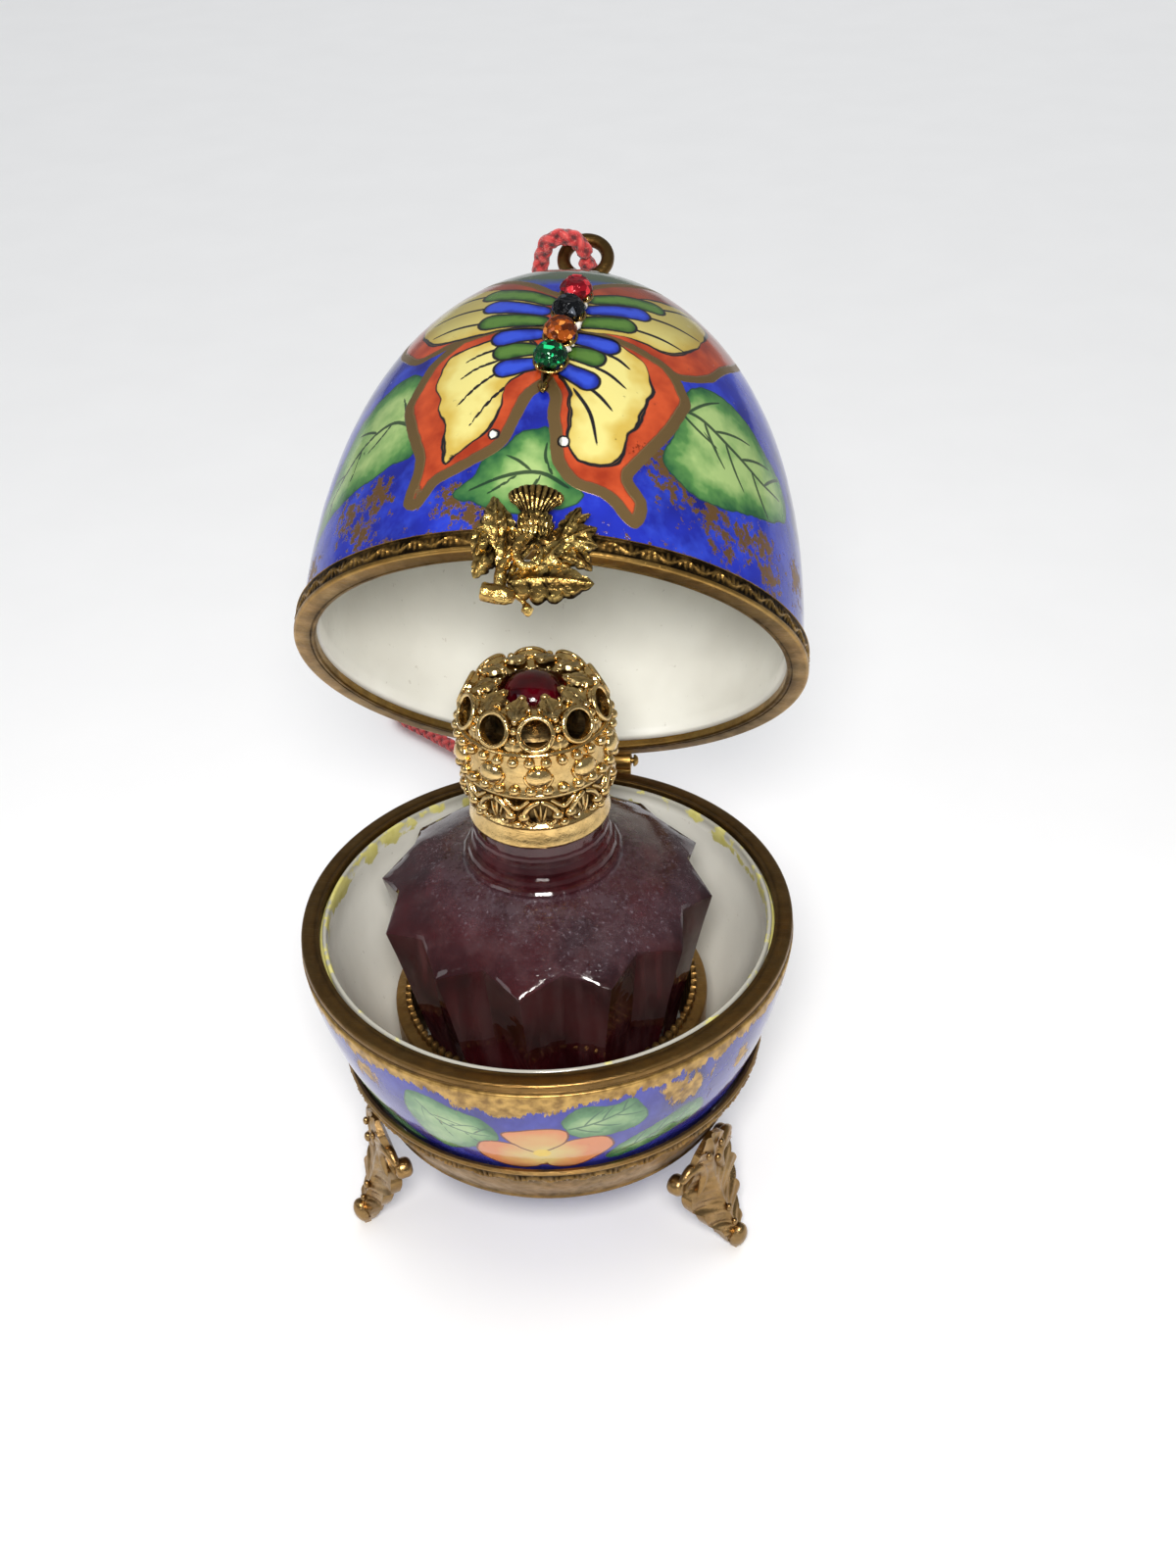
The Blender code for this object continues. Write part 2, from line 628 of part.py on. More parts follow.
def stem_mesh(name, places, radius):
    return wire_mesh(name, smooth_route([clasp_point(*place) for place in places], 6), radius * MM, 1)


# Base, tip, width and height off the mount of each leaf of the spray, in millimetres.
CLASP_LEAVES = (
    ((-4.0, -0.9), (-5.0, 5.6), 3.2, 0.95),
    ((-5.2, 3.2), (-6.5, -2.1), 2.4, 0.65),
    ((-3.4, -4.0), (-3.2, 1.6), 1.9, 1.25),
    ((2.2, -1.2), (4.7, 4.9), 2.5, 0.8),
    ((1.8, -0.4), (6.7, 2.3), 3.0, 0.9),
    ((3.0, 0.6), (6.5, -2.7), 2.3, 0.7),
    ((-0.2, -4.0), (3.4, 0.6), 2.6, 1.15),
    ((-2.8, -4.7), (6.9, -4.5), 4.8, 1.0),
)


def make_clasp(mat):
    """A cast spray: thistle flower, calyx ball, curved stem, leaves, cut stub and a small bud."""
    across = Matrix.Translation(clasp_point(-3.6, -6.4, 1.1)) @ Matrix.Rotation(math.pi / 2, 4, "Y")
    shapes = [ball_on_clasp("calyx", -0.2, 2.3, 1.5, 1.7, 1.6, 1.3),
              stem_mesh("stem", ((-0.2, 1.4, 1.3), (-1.1, 0.2, 1.5), (-2.6, -1.6, 1.4), (-3.4, -3.4, 1.2),
                                 (-3.4, -5.8, 1.1)), 0.7),
              stem_mesh("bud_stalk", ((-2.2, -5.8, 1.0), (-0.9, -6.7, 0.9), (-0.3, -7.7, 0.9)), 0.4),
              ball_on_clasp("bud", -0.2, -7.9, 0.9, 0.6, 0.75, 0.6),
              cylinder_mesh("stub", 0.9 * MM, 4.0 * MM, 8, across)]
    for i, (base, tip, width, lift) in enumerate(CLASP_LEAVES):
        shapes.append(leaf_mesh(f"leaf_{i}", base, tip, width, lift))
    spin = Matrix.Rotation(CLASP_TURN, 4, "Z")
    flower = flower_mesh()
    flower.transform(spin)
    clasp = add_piece("clasp", flower, mat, lid_axis)
    for shape in shapes:
        shape.transform(spin)
        boolean(clasp, add_cutter("clasp_" + shape.name, shape, lid_axis), "UNION")
    return clasp


# ---------------------------------------------------------------- lid: stones and top loop
def strip_turn(h):
    share = (STRIP_TOP_H - h) / (STRIP_TOP_H - STRIP_END_H)
    return STRIP_TOP_TURN + (STRIP_END_TURN - STRIP_TOP_TURN) * share


def make_jewel_setting(mat):
    """A thin cast strip down the front of the dome, narrow at its ends, under the stones."""
    rings = []
    count = 9
    for i in range(count):
        h = STRIP_TOP_H + (STRIP_END_H - STRIP_TOP_H) * i / (count - 1)
        half = 1.5 * MM if 0 < i < count - 1 else 0.6 * MM
        turn = strip_turn(h)
        slope = dome_slope(h)
        centre = on_lid(turn, dome_radius(h), LID_Z + h)
        out = lid_normal(turn, slope)
        side = Vector((math.cos(turn), math.sin(turn), 0.0))
        low = centre + out * GAP
        high = centre + out * (GAP + STRIP_THICK)
        rings.append([low - side * half, low + side * half, high + side * half, high - side * half])
    return add_piece("jewel_setting", lofted_mesh("jewel_setting", rings), mat, lid_axis)


def make_stone(name, h, mat):
    """A round faceted stone that stands on the strip, square to the dome."""
    points = [(0.0, 2.0 * MM), (1.2 * MM, 1.8 * MM), (STONE_R, 0.8 * MM), (1.7 * MM, 0.0), (0.0, 0.0)]
    turn = strip_turn(h)
    slope = dome_slope(h)
    out = lid_normal(turn, slope)
    foot = on_lid(turn, dome_radius(h), LID_Z + h) + out * (2.0 * GAP + STRIP_THICK)
    stone = turned(name, points, mat, lid_axis, steps=10)
    stone.location = foot - Vector((0.0, HINGE_Y, HINGE_Z))
    stone.rotation_euler = out.to_track_quat("Z", "Y").to_euler()
    return stone


def make_top_loop(mat):
    """A round loop that faces the front, on a stepped collar at the top of the dome."""
    foot = LID_Z + LID_H + GAP
    collar_top = LID_Z + LOOP_CENTRE_H - LOOP_R
    points = [(0.0, collar_top), (0.9 * MM, collar_top), (1.3 * MM, collar_top - 0.7 * MM),
              (0.9 * MM, collar_top - 1.4 * MM), (2.0 * MM, collar_top - 2.0 * MM),
              (3.1 * MM, foot + 0.5 * MM), (3.1 * MM, foot), (0.0, foot)]
    loop = turned("top_loop", points, mat, lid_axis, steps=12)
    centre = Vector((0.0, 0.0, LID_Z + LOOP_CENTRE_H))
    rings = []
    for i in range(LOOP_SIDES):
        turn = 2.0 * math.pi * (i + 0.5) / LOOP_SIDES
        out = Vector((math.cos(turn), 0.0, math.sin(turn)))
        ring = []
        for k in range(6):
            angle = 2.0 * math.pi * k / 6
            side = Vector((0.0, math.sin(angle), 0.0))
            ring.append(centre + out * (LOOP_R + LOOP_WIRE_R * math.cos(angle)) + side * LOOP_WIRE_R)
        rings.append(ring)
    boolean(loop, add_cutter("loop_ring", ring_mesh("loop_ring", rings), lid_axis), "UNION")
    return loop


def ring_mesh(name, rings):
    """A closed hoop through rings of points."""
    bm = bmesh.new()
    loops = [[bm.verts.new(point) for point in ring] for ring in rings]
    for lower, upper in zip(loops, loops[1:] + loops[:1]):
        for i in range(len(lower)):
            j = (i + 1) % len(lower)
            bm.faces.new((lower[i], lower[j], upper[j], upper[i]))
    bmesh.ops.recalc_face_normals(bm, faces=bm.faces)
    mesh = bpy.data.meshes.new(name)
    bm.to_mesh(mesh)
    bm.free()
    return mesh


# ---------------------------------------------------------------- cord
def open_place(x, y, z):
    """Where a point of the closed lid stands when the lid is open."""
    hinge = Vector((0.0, HINGE_Y, HINGE_Z))
    return Matrix.Rotation(-LID_OPEN, 3, "X") @ (Vector((x, y, z)) - hinge) + hinge


# The cord's way from the front of the loop over its left side, as (right, forward, up) from the
# loop's centre in the lid's own frame, in millimetres.
CORD_OVER_LOOP = ((0.0, 0.3, 0.0), (-0.3, 1.4, 0.7), (-1.5, 2.4, 1.5), (-3.4, 2.5, 1.7),
                  (-5.3, 1.6, 1.4), (-6.3, -0.8, 0.7), (-6.7, -2.7, -0.6))
# Then its way down behind the lid, along the table and back up, as places in the egg's own frame
# with the lid open, in millimetres.
CORD_HANGING = ((-7.1, 69.1, 102.0), (-7.6, 70.4, 90.0), (-8.2, 70.8, 74.0), (-9.0, 70.6, 54.0),
                (-9.8, 71.0, 34.0), (-10.6, 72.2, 15.0), (-12.5, 75.6, 4.6), (-16.8, 81.6, 1.6),
                (-23.5, 90.0, 1.6), (-30.8, 97.2, 1.6), (-38.6, 103.2, 1.6), (-45.6, 109.0, 1.6),
                (-46.2, 116.6, 1.6), (-39.0, 119.8, 1.6), (-28.0, 114.6, 1.6), (-16.0, 103.4, 1.6),
                (-5.5, 88.6, 1.6), (-0.2, 79.0, 2.8), (1.6, 74.8, 10.0), (1.9, 73.4, 26.0),
                (1.6, 73.0, 48.0), (1.2, 73.0, 70.0), (0.8, 72.6, 90.0), (0.3, 70.6, 104.0))


def make_cord(mat):
    """A soft cord through the loop that hangs down behind the lid and lies on the table."""
    centre = open_place(0.0, 0.0, LID_Z + LOOP_CENTRE_H)
    forward = Matrix.Rotation(-LID_OPEN, 3, "X") @ Vector((0.0, -1.0, 0.0))
    up = Matrix.Rotation(-LID_OPEN, 3, "X") @ Vector((0.0, 0.0, 1.0))
    right = Vector((1.0, 0.0, 0.0))
    over = [centre + (right * x + forward * y + up * z) * MM for x, y, z in CORD_OVER_LOOP]
    fall = [Vector(place) * MM for place in CORD_HANGING] + [centre - forward * 0.3 * MM]
    over_route = smooth_route([*over, fall[0]], CORD_LOOP_POINTS)
    fall_route = smooth_route([over[-1], *fall], CORD_FALL_POINTS)
    cord = wire("cord", over_route + fall_route[2:], CORD_R, 2)
    parts.objects.link(cord)
    cord.data.materials.append(mat)
    cord.parent = egg
    return cord


def centre_on_origin():
    """Move the egg along Y until the middle of its depth, without the cord, is over the origin."""
    depsgraph = bpy.context.evaluated_depsgraph_get()
    depths = []
    for obj in parts.objects:
        if obj.type == "MESH":
            mesh_obj = obj.evaluated_get(depsgraph)
            depths += [(mesh_obj.matrix_world @ vertex.co).y for vertex in mesh_obj.data.vertices]
    egg.location.y = -(min(depths) + max(depths)) / 2.0


# ---------------------------------------------------------------- build
def build_base():
    porcelain = material("painted_porcelain_bowl", (0.20, 0.23, 0.62), 0.12)
    aged_brass = material("aged_brass", (0.42, 0.30, 0.13), 0.38, metallic=1.0)
    glass = material("amethyst_glass", (0.20, 0.05, 0.12), 0.08, transmission=0.8)
    gilt = material("bright_gilt", (0.90, 0.66, 0.28), 0.16, metallic=1.0)
    ruby = material("ruby_glass", (0.35, 0.0, 0.05), 0.05)
    make_bowl(porcelain)
    make_bowl_rim(aged_brass)
    make_base_ring(aged_brass.copy())
    for name, (turn, sway) in FEET.items():
        make_foot(name, turn, sway, aged_brass.copy())
    make_holder_ring(aged_brass.copy())
    make_bottle(glass)
    make_cap(gilt)
    make_cap_jewel(ruby)
    make_bowl_hinge(aged_brass.copy())
    make_hinge_pin(gilt.copy())


def build_lid():
    porcelain = material("painted_porcelain_lid", (0.16, 0.20, 0.66), 0.12)
    aged_brass = material("chased_brass", (0.40, 0.29, 0.13), 0.36, metallic=1.0)
    gilt = material("old_gilt", (0.78, 0.56, 0.22), 0.24, metallic=1.0)
    stone_colours = {"stone_red": (0.50, 0.0, 0.06), "stone_black": (0.02, 0.02, 0.03),
                     "stone_amber": (0.55, 0.20, 0.02), "stone_green": (0.0, 0.30, 0.12)}
    make_lid(porcelain)
    make_lid_rim(aged_brass)
    make_lid_hinge(aged_brass.copy())
    make_clasp(gilt)
    make_jewel_setting(gilt.copy())
    for name, h in STONE_HEIGHTS.items():
        make_stone(name, h, material(name + "_glass", stone_colours[name], 0.05))
    make_top_loop(aged_brass.copy())
    make_cord(material("red_cord", (0.62, 0.09, 0.09), 0.85))


clear_scene()
parts = new_collection(PARTS_NAME)
cutters = new_collection(CUTTERS_NAME)
egg = empty("egg")
lid_axis = empty("lid_axis", egg, (0.0, HINGE_Y, HINGE_Z), -LID_OPEN)
build_base()
build_lid()
bpy.context.view_layer.update()
centre_on_origin()
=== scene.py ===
# %% [markdown]
# # Porcelain perfume egg: the finish
#
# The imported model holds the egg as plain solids: a porcelain bowl and lid, brass mounts and feet, a glass
# bottle with a gilt cap, and a cord. This lesson dresses it. Every piece keeps the size and place of its
# solid, is built from simple shapes with mesh operators, and rides on the body that its solid belongs to.
# The order is: measures, camera and light, helpers, cord, porcelain, brass, glass, gilt castings, stones.

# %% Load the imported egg
import json
from math import atan2, copysign, cos, exp, floor, hypot, pi, radians, sin, sqrt
import bmesh
import bpy
import numpy as np
from mathutils import Matrix, Vector, noise


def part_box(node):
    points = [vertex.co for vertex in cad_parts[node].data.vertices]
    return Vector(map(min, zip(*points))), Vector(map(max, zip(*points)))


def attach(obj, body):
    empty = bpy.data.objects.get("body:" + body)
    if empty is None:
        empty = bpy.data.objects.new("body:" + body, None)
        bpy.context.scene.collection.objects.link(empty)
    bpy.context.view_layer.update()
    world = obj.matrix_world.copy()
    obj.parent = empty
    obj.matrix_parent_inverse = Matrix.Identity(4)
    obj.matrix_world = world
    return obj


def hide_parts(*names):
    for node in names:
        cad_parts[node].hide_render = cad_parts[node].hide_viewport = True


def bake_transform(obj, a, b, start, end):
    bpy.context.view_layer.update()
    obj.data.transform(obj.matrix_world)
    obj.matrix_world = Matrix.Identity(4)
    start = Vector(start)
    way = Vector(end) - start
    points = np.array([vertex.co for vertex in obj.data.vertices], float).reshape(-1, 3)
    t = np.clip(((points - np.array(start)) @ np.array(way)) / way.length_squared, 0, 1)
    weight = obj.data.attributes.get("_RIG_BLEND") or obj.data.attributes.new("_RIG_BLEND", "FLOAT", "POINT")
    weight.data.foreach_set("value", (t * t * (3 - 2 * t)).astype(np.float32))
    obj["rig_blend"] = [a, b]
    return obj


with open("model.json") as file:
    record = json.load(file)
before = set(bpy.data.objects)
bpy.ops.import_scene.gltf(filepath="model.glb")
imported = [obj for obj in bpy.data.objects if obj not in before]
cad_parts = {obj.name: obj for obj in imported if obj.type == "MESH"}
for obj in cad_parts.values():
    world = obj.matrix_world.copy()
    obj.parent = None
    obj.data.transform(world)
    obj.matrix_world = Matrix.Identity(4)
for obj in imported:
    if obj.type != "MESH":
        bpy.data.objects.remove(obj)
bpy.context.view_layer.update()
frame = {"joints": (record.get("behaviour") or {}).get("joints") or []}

# %% [markdown]
# The egg is round about one upright axis, so most pieces are easiest to make round the world's Z axis and
# to move into place afterwards. Two matrices do that: EGG for what stands on the feet, and LID for what
# opens. The lid's pieces are made with the lid shut and its edge at height 0. LID then lifts them to the
# hinge and turns them open by the joint's own travel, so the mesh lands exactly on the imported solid.

# %% Measures from the frame
MM = 0.001
GAP = 0.35                        # millimetres that the solids leave between two pieces
bowl_low, bowl_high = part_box("bowl")
axis = Vector(((bowl_low.x + bowl_high.x) / 2, (bowl_low.y + bowl_high.y) / 2, 0))
hinge = frame["joints"][0]
pin = Vector(hinge["pos_m"])
travel = radians(hinge["range_deg"][1])
lid_edge_z = pin.z + GAP * MM / 2

MILLIMETRES = Matrix.Diagonal((MM, MM, MM, 1))
EGG = Matrix.Translation(axis) @ MILLIMETRES
SHUT = Matrix.Translation(axis + Vector((0, 0, lid_edge_z))) @ MILLIMETRES
LID = Matrix.Translation(pin) @ Matrix.Rotation(-travel, 4, "X") @ Matrix.Translation(-pin) @ SHUT
pin_y = (pin.y - axis.y) / MM     # the pin, in millimetres from the egg's axis
pin_z = pin.z / MM
print("egg axis at", [round(v / MM, 2) for v in axis], "pin", round(pin_y, 2), round(pin_z, 2))

# %% [markdown]
# The camera looks down on the open egg from the front and a little from its right. A camera's matrix
# holds its own right, up and back directions as columns, so the view is worked out from two angles, a
# small roll and a distance. The sensor's long side is upright here, because the picture is taller than
# wide.

# %% Camera
CAMERA_TURN = radians(7.86)
CAMERA_RISE = radians(36.07)
CAMERA_ROLL = radians(-2.48)
CAMERA_AWAY = 217.76 * MM
CAMERA_AIM = axis + Vector((6.16, 0, 66.86)) * MM


def camera_matrix():
    back = Vector((sin(CAMERA_TURN) * cos(CAMERA_RISE),
                   -cos(CAMERA_TURN) * cos(CAMERA_RISE), sin(CAMERA_RISE)))
    level = Vector((cos(CAMERA_TURN), sin(CAMERA_TURN), 0))
    above = back.cross(level)
    right = cos(CAMERA_ROLL) * level + sin(CAMERA_ROLL) * above
    up = back.cross(right)
    turn = Matrix((right, up, back)).transposed().to_4x4()
    return Matrix.Translation(CAMERA_AIM + back * CAMERA_AWAY) @ turn


def new_object(name, data):
    made = bpy.data.objects.new(name, data)
    bpy.context.scene.collection.objects.link(made)
    return made


camera_data = bpy.data.cameras.new("studio_camera")
camera_data.sensor_fit = "AUTO"
camera_data.sensor_width = 24
camera_data.lens = 27
camera_data.clip_start = 0.01
camera_data.clip_end = 20
camera = new_object("studio_camera", camera_data)
camera.matrix_world = camera_matrix()
bpy.context.scene.camera = camera
print("camera at", [round(v, 4) for v in camera.location])

# %% [markdown]
# Glazed porcelain, polished gilt and glass show their surroundings, so the light has to be chosen with
# the reflections in mind. One broad soft lamp stands just above the camera, as a ring lamp would. Its
# reflection sits in the middle of each round form and leaves the edges to darken. A second lamp, far off
# on the left, models the forms. Two wide, weak lamps hang overhead and behind, to fill the floor. They
# aren't seen in reflections, or they would lay a grey veil on the glass.

# %% Light
def soft_lamp(name, place, aim, size, watts, colour=(1, 1, 1)):
    data = bpy.data.lights.new(name, "AREA")
    data.shape = "DISK"
    data.size = size
    data.energy = watts
    data.color = colour
    lamp = new_object(name, data)
    lamp.matrix_world = (Matrix.Translation(place)
                         @ (Vector(place) - Vector(aim)).to_track_quat("Z", "Y").to_matrix().to_4x4())
    return lamp


aim = axis + Vector((0, 0, 60)) * MM
soft_lamp("front_lamp", camera.location + Vector((0, -0.03, 0.05)), aim, 0.07, 0.85, (1, 0.97, 0.93))
soft_lamp("left_lamp", aim + Vector((-0.55, -0.35, 0.40)), aim, 0.35, 0.6, (0.97, 0.98, 1))
top_lamp = soft_lamp("top_lamp", aim + Vector((0.05, 0.45, 1.50)), aim, 2.2, 14)
back_lamp = soft_lamp("back_lamp", aim + Vector((0, 1.5, 1.6)), aim + Vector((0, 1.3, 0)), 2.4, 9)
top_lamp.visible_glossy = back_lamp.visible_glossy = False

# %% [markdown]
# Shader nodes are long-winded to wire by hand, so a small helper class adds nodes and joins them. Each
# method gives back a socket, and sockets feed the next call. One class serves materials, node groups and
# the world. The world is white for the camera and dimmer for everything else. The floor is white paper.

# %% Helper for shader nodes, the world and the floor
class Wiring:
    """Adds nodes to one tree. Values may be numbers, colours or sockets."""

    def __init__(self, tree):
        self.tree = tree

    def node(self, kind, inputs=None, **settings):
        made = self.tree.nodes.new(kind)
        for name, value in settings.items():
            setattr(made, name, value)
        for name, value in (inputs or {}).items():
            self.put(made.inputs[name], value)
        return made

    def put(self, socket, value):
        if isinstance(value, bpy.types.NodeSocket):
            self.tree.links.new(value, socket)
        elif isinstance(value, tuple) and len(value) == 3 and socket.type == "RGBA":
            socket.default_value = (*value, 1)
        else:
            socket.default_value = value

    def sums(self, operation, a, b=0, clamp=False):
        return self.node("ShaderNodeMath", {0: a, 1: b}, operation=operation, use_clamp=clamp).outputs[0]

    def plus(self, a, b):
        return self.sums("ADD", a, b)

    def minus(self, a, b):
        return self.sums("SUBTRACT", a, b)

    def times(self, a, b, clamp=False):
        return self.sums("MULTIPLY", a, b, clamp)

    def most(self, first, *others):
        """The largest of several values."""
        for other in others:
            first = self.sums("MAXIMUM", first, other)
        return first

    def spread(self, value, low, high, to_low=0, to_high=1):
        """The range from low to high, stretched to another range and held inside it."""
        return self.node("ShaderNodeMapRange", {"Value": value, "From Min": low, "From Max": high,
                                                "To Min": to_low, "To Max": to_high}, clamp=True).outputs[0]

    def above(self, value, edge, soft=0.06):
        """0 below the edge and 1 above it, with a short ramp between."""
        if isinstance(edge, bpy.types.NodeSocket):
            value, edge = self.minus(value, edge), 0
        return self.spread(value, edge - soft, edge + soft)

    def mix(self, share, a, b):
        """Colour a, or colour b where the share is 1."""
        return self.node("ShaderNodeMix", {0: share, 6: a, 7: b}, data_type="RGBA").outputs[2]

    def field(self, name):
        return self.node("ShaderNodeAttribute", attribute_name=name).outputs["Fac"]

    def place(self):
        return self.node("ShaderNodeTexCoord").outputs["Object"]

    def grain(self, scale, detail=2, roughness=0.5, stretch=None):
        vector = self.place()
        if stretch:
            vector = self.node("ShaderNodeMapping", {"Vector": vector, "Scale": stretch}).outputs[0]
        return self.node("ShaderNodeTexNoise", {"Vector": vector, "Scale": scale, "Detail": detail,
                                                "Roughness": roughness}).outputs["Fac"]

    def clouds(self, scale, detail=3, roughness=0.5):
        """Grain with its middle range stretched to 0 and 1."""
        return self.spread(self.grain(scale, detail, roughness), 0.35, 0.65)

    def stir(self, amount, scale, detail=2, roughness=0.5):
        """A small unevenness, as much below 0 as above."""
        return self.spread(self.grain(scale, detail, roughness), 0.3, 0.7, -amount, amount)

    def group(self, group, inputs=None):
        return self.node("ShaderNodeGroup", inputs, node_tree=group).outputs

    def surface(self, colour, rough, height=None, strength=0, distance=0):
        """Joins colour, roughness and relief to the material's own shader."""
        self.put(self.shader.inputs["Base Color"], colour)
        self.put(self.shader.inputs["Roughness"], rough)
        if height:
            bump = self.node("ShaderNodeBump", {"Height": height, "Strength": strength, "Distance": distance})
            self.put(self.shader.inputs["Normal"], bump.outputs["Normal"])


def srgb(red, green, blue):
    """A colour as a painter mixes it on screen, 0 to 255, made linear for the shader."""
    values = []
    for value in (red, green, blue):
        value = value / 255
        values.append(value / 12.92 if value <= 0.04045 else ((value + 0.055) / 1.055) ** 2.4)
    return tuple(values)


def new_material(name, plain=None):
    """A fresh material and its wiring. Plain values are the same all over, and sit on the shader itself."""
    material = bpy.data.materials.new(name)
    material.use_nodes = True
    wiring = Wiring(material.node_tree)
    wiring.shader = material.node_tree.nodes["Principled BSDF"]
    for socket, value in (plain or {}).items():
        wiring.shader.inputs[socket].default_value = value
    return material, wiring


def new_group(name, inputs, outputs):
    """An empty node group with named sockets. Inputs hold each socket's first value."""
    group = bpy.data.node_groups.new(name, "ShaderNodeTree")
    for socket, value in inputs.items():
        made = group.interface.new_socket(socket, in_out="INPUT", socket_type="NodeSocketFloat")
        made.default_value = value
    for socket in outputs:
        group.interface.new_socket(socket, in_out="OUTPUT", socket_type="NodeSocketFloat")
    wiring = Wiring(group)
    return group, wiring, wiring.node("NodeGroupInput").outputs, wiring.node("NodeGroupOutput").inputs


world = bpy.data.worlds.new("studio")
bpy.context.scene.world = world
bpy.context.scene.view_settings.view_transform = "Standard"
world.use_nodes = True
world.node_tree.nodes.clear()
w = Wiring(world.node_tree)
seen = w.node("ShaderNodeBackground", {"Color": (1, 1, 1)})
lighting = w.node("ShaderNodeBackground", {"Color": (0.93, 0.96, 1), "Strength": 0.26})
ray = w.node("ShaderNodeLightPath")
choose = w.node("ShaderNodeMixShader", {0: ray.outputs["Is Camera Ray"], 1: lighting.outputs[0],
                                        2: seen.outputs[0]})
w.node("ShaderNodeOutputWorld", {"Surface": choose.outputs[0]})

bm = bmesh.new()
bmesh.ops.create_grid(bm, x_segments=1, y_segments=1, size=3)
floor_mesh = bpy.data.meshes.new("studio_floor")
bm.to_mesh(floor_mesh)
bm.free()
studio_floor = new_object("studio_floor", floor_mesh)
floor_paper, w = new_material("floor_paper")
w.surface(w.mix(w.grain(40, 3), (0.91, 0.91, 0.91), (0.95, 0.95, 0.95)),
          w.spread(w.grain(300), 0.3, 0.7, 0.85, 0.95))
floor_mesh.materials.append(floor_paper)
print("helper, world and floor ready")

# %% [markdown]
# Effects that several finishes share are node groups. Patina darkens the hollows of old brass and lets
# the high spots shine. Glaze gives fired glass its faint waves and pinholes. Scuffs are the fine hairline
# marks on anything that has been handled.

# %% Shared effects
def make_patina():
    group, w, given, out = new_group("patina", {"Relief": 0.5, "Scale": 900, "Age": 0.5},
                                     ("Dark", "Rough", "Height"))
    clouds = w.spread(w.grain(w.times(given["Scale"], 0.35), 5, 0.62), 0.36, 0.64)
    fine = w.grain(given["Scale"], 3)
    hollow = w.minus(1, w.spread(given["Relief"], 0.15, 0.75))
    weighed = w.plus(w.times(hollow, 0.75), w.times(clouds, 0.35))
    dark = w.times(weighed, w.plus(0.45, given["Age"]), clamp=True)
    w.put(out["Dark"], dark)
    w.put(out["Rough"], w.plus(w.times(dark, 0.3), w.times(fine, 0.12)))
    w.put(out["Height"], w.plus(fine, w.times(clouds, 0.6)))
    return group


def make_glaze():
    group, w, given, out = new_group("glaze", {"Waves": 260}, ("Height", "Rough"))
    wave = w.grain(given["Waves"])
    cells = w.node("ShaderNodeTexVoronoi", {"Vector": w.place(), "Scale": 420})
    pinhole = w.minus(1, w.above(cells.outputs["Distance"], 0.075, 0.02))
    w.put(out["Height"], w.minus(wave, w.times(pinhole, 0.35)))
    w.put(out["Rough"], w.spread(wave, 0.3, 0.7, 0.05, 0.15))
    return group


def make_scuffs():
    group, w, given, out = new_group("scuffs", {"Density": 0.5}, ("Mask", "Height"))
    marks = []
    for turn in (0.4, 1.5, 2.4):
        lie = w.node("ShaderNodeMapping", {"Vector": w.place(), "Rotation": (0.3 * turn, turn, turn),
                                           "Scale": (1, 22, 22)})
        hairlines = w.node("ShaderNodeTexNoise", {"Vector": lie.outputs[0], "Scale": 190, "Detail": 1})
        marks.append(w.above(hairlines.outputs["Fac"], 0.68, 0.03))
    mask = w.times(w.most(*marks), given["Density"])
    w.put(out["Mask"], mask)
    w.put(out["Height"], w.minus(0, mask))
    return group


patina_group = make_patina()
glaze_group = make_glaze()
scuffs_group = make_scuffs()
print("groups", [g.name for g in bpy.data.node_groups])

# %% [markdown]
# Most pieces here are made in a bmesh: start from a simple shape, then spin, extrude, scale or move it.
# These helpers hold what every piece needs at the end: it becomes an object at the origin with its place
# in its mesh, it gets its material, and it says which body it rides on and which solid it stands for.

# %% Helpers for pieces
PLACES = {"base": EGG, "lid": LID, None: EGG}


def finished(name, bm, material, body, slot, *solids, sharp=38, weld=0.0005):
    """Turns a bmesh in millimetres into a finished piece, which stands for the named solids."""
    bmesh.ops.remove_doubles(bm, verts=bm.verts, dist=weld)
    bmesh.ops.recalc_face_normals(bm, faces=bm.faces)
    mesh = bpy.data.meshes.new(name)
    bm.to_mesh(mesh)
    bm.free()
    return finished_mesh(name, mesh, material, body, slot, *solids, sharp=sharp)


def finished_mesh(name, mesh, material, body, slot, *solids, sharp=180):
    """The same for a mesh. Edges stay smooth up to the sharp angle, and a blended piece has no body."""
    mesh.name = name
    mesh.transform(PLACES[body])
    mesh.shade_smooth()
    if sharp < 180:
        mesh.set_sharp_from_angle(angle=radians(sharp))
    mesh.materials.append(material)
    piece = new_object(name, mesh)
    if body:
        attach(piece, body)
    if solids:
        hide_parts(*solids)
    mesh.calc_loop_triangles()
    print(f"{name}: {len(mesh.loop_triangles)} triangles")
    return piece


def vertex_places(mesh):
    places = np.zeros(len(mesh.vertices) * 3, np.float32)
    mesh.vertices.foreach_get("co", places)
    return places.reshape(-1, 3).astype(float)


def store_field(mesh, name, values):
    """A number at each vertex, which a material reads by its name."""
    field = mesh.attributes.new(name, "FLOAT", "POINT")
    field.data.foreach_set("value", np.asarray(values, np.float32))


